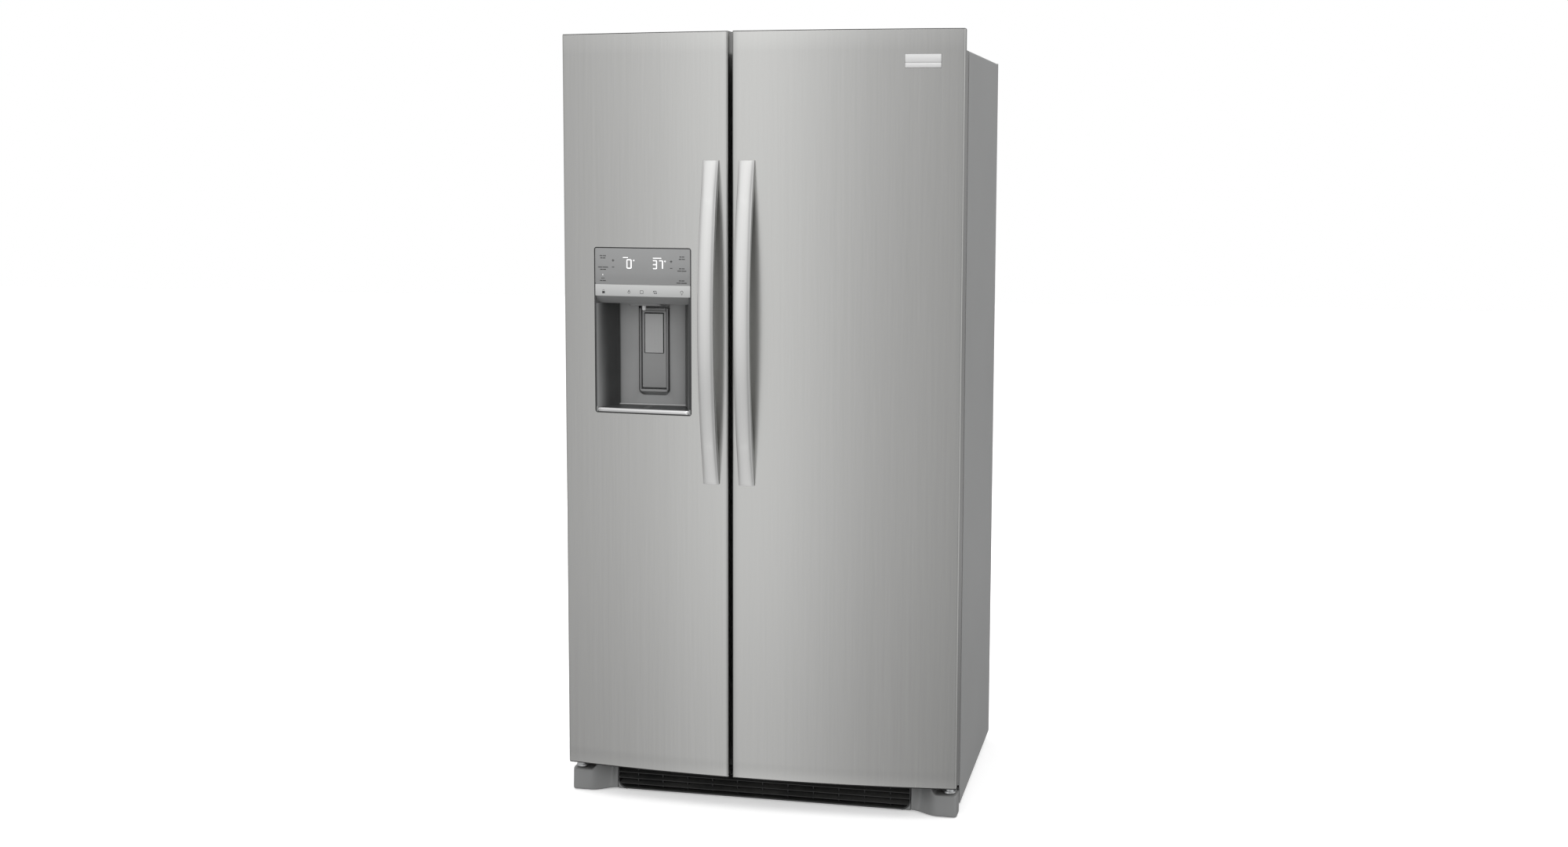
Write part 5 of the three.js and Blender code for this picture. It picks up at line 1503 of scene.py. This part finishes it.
def back_screws():
    """Hex-headed screws evenly round the back panel's edge."""
    y = back_high.y - 0.6 * MM
    heads = []
    inner = 14 * MM
    for z in np.linspace(back_low.z + 40 * MM, back_high.z - 20 * MM, 9):
        for x in (back_low.x + inner, back_high.x - inner):
            heads.append(hex_head(x, y, z, 6 * MM, 2.6 * MM, axis=1))
    for x in np.linspace(back_low.x + 110 * MM, back_high.x - 110 * MM, 5):
        heads.append(hex_head(x, y, back_high.z - inner, 6 * MM, 2.6 * MM, axis=1))
    return gathered(*heads)


built("back_screws", *back_screws(), zinc, "cabinet", "zinc", angle=40)
cover_low, cover_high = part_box("rear_cover")
cover_screws = [hex_head(x, cover_high.y - 0.6 * MM, z, 6 * MM, 2.4 * MM, axis=1)
                for x in (cover_low.x + 12 * MM, (cover_low.x + cover_high.x) / 2, cover_high.x - 12 * MM)
                for z in (cover_low.z + 9 * MM, cover_high.z - 9 * MM)]
built("cover_screws", *gathered(*cover_screws), zinc, "cabinet", "zinc", angle=40)


# ---------------------------------------------------------------- studio
# A pale seamless floor and pale surroundings. The surroundings that reflect are a tall soft light ahead to the
# left that falls off to both sides and below, and three weak soft lights give the matt parts their shape.

floor_finish = bpy.data.materials.new("studio floor")
floor_finish.use_nodes = True


def floor_nodes(tree):
    """A pale matt floor, washed out for the camera and darker in what bounces off it."""
    tree.nodes.clear()
    mottle = noise(tree, object_place(tree), 0.8, 2.0)
    seen_tone = add_node(tree, "ShaderNodeMapRange", Value=mottle, To_Min=0.92, To_Max=0.94)
    seen = add_node(tree, "ShaderNodeBsdfDiffuse", Color=seen_tone.outputs[0])
    wash = add_node(tree, "ShaderNodeEmission", Color=(1.0, 1.0, 1.0, 1.0), Strength=0.42)
    washed = add_node(tree, "ShaderNodeAddShader", i0=seen.outputs[0], i1=wash.outputs[0])
    dim = add_node(tree, "ShaderNodeBsdfDiffuse", Color=(0.5, 0.5, 0.5, 1.0))
    ray = add_node(tree, "ShaderNodeLightPath").outputs["Is Camera Ray"]
    mixed = add_node(tree, "ShaderNodeMixShader", Fac=ray, i1=dim.outputs[0], i2=washed.outputs[0])
    out = add_node(tree, "ShaderNodeOutputMaterial")
    tree.links.new(mixed.outputs[0], out.inputs["Surface"])


floor_nodes(floor_finish.node_tree)


def studio_floor(reach=16.0):
    """One square sheet, left out of reflections, that stays where it is at every pose."""
    mesh = bpy.data.meshes.new("studio_floor")
    mesh.from_pydata(
        [(-reach, -reach, 0), (reach, -reach, 0), (reach, reach, 0), (-reach, reach, 0)], [], [(0, 1, 2, 3)]
    )
    mesh.materials.append(floor_finish)
    floor = bpy.data.objects.new("studio_floor", mesh)
    bpy.context.scene.collection.objects.link(floor)
    floor.visible_glossy = False


studio_floor()


def soft_light(name, place, aim, size, power):
    """A rectangular area light of the size given, placed and turned to its aim, and left out of reflections."""
    data = bpy.data.lights.new(name, "AREA")
    data.shape = "RECTANGLE"
    data.size, data.size_y = size
    data.energy = power
    light = bpy.data.objects.new(name, data)
    bpy.context.scene.collection.objects.link(light)
    light.location = place
    direction = np.array(aim, float) - np.array(place, float)
    flat = math.hypot(direction[0], direction[1])
    light.rotation_euler = (
        math.atan2(flat, -direction[2]), 0.0, math.atan2(direction[1], direction[0]) - math.pi / 2,
    )
    light.visible_glossy = False
    return light


soft_light("front softbox", (1.6, -4.2, 2.3), (0, 0, 0.9), (1.4, 2.6), 26)
soft_light("overhead", (0, -0.6, 4.2), (0, 0, 0), (3.6, 3.6), 34)
soft_light("rear softbox", (-2.4, 4.0, 2.2), (0, 0, 0.9), (2.0, 2.6), 40)

# Brightness of what reflects: by the bearing in degrees from straight ahead (plus is to the right), and by the
# height in degrees above the horizon.
BEARINGS = [(-180, 0.3), (-130, 0.6), (-90, 0.6), (-50, 0.52), (-33, 0.66), (-24, 0.8), (-17, 1.12), (-13, 1.42),
            (-9, 1.05), (-4, 0.74), (4, 0.62), (16, 0.44), (35, 0.46), (60, 0.72), (110, 0.84), (150, 0.34), (180, 0.3)]
HEIGHTS = [(-90, 0.8), (-50, 1.0), (-30, 0.86), (-22, 0.68), (-17, 0.61), (-11, 1.06), (-5, 0.9), (1, 1.04), (8, 1.12),
           (40, 1.35), (90, 1.4)]


def ramp(tree, value, stops, low, high):
    """A colour ramp through (position, brightness) stops given between low and high."""
    across = add_node(tree, "ShaderNodeMapRange", Value=value, From_Min=low, From_Max=high)
    node = add_node(tree, "ShaderNodeValToRGB", Fac=across.outputs[0])
    band = node.color_ramp
    band.interpolation = "EASE"
    while len(band.elements) < len(stops):
        band.elements.new(0.5)
    for element, (place, level) in zip(band.elements, stops):
        element.position = (place - low) / (high - low)
        element.color = (level / 2, level / 2, level / 2, 1.0)
    return node.outputs["Color"]


def studio_world():
    """The surroundings: white to the camera, and otherwise the two brightness patterns multiplied together."""
    world = bpy.data.worlds.new("studio")
    bpy.context.scene.world = world
    world.use_nodes = True
    tree = world.node_tree
    tree.nodes.clear()
    place = add_node(tree, "ShaderNodeTexCoord").outputs["Generated"]
    part = add_node(tree, "ShaderNodeSeparateXYZ", Vector=place)
    ahead = arithmetic(tree, "MULTIPLY", part.outputs["Y"], -1.0)
    bearing = arithmetic(tree, "MULTIPLY", arithmetic(tree, "ARCTAN2", part.outputs["X"], ahead), 180 / math.pi)
    height = arithmetic(tree, "MULTIPLY", arithmetic(tree, "ARCSINE", part.outputs["Z"]), 180 / math.pi)
    side_to_side = ramp(tree, bearing, BEARINGS, -180, 180)
    up_and_down = ramp(tree, height, HEIGHTS, -90, 90)
    both = arithmetic(tree, "MULTIPLY", side_to_side, up_and_down)
    around = add_node(tree, "ShaderNodeBackground", Color=both, Strength=4.0)
    seen = add_node(tree, "ShaderNodeBackground", Color=(1.0, 1.0, 1.0, 1.0), Strength=1.0)
    ray = add_node(tree, "ShaderNodeLightPath").outputs["Is Camera Ray"]
    mixed = add_node(tree, "ShaderNodeMixShader", Fac=ray, i1=around.outputs[0], i2=seen.outputs[0])
    out = add_node(tree, "ShaderNodeOutputWorld")
    tree.links.new(mixed.outputs[0], out.inputs["Surface"])


studio_world()
bpy.context.scene.view_settings.view_transform = "Standard"
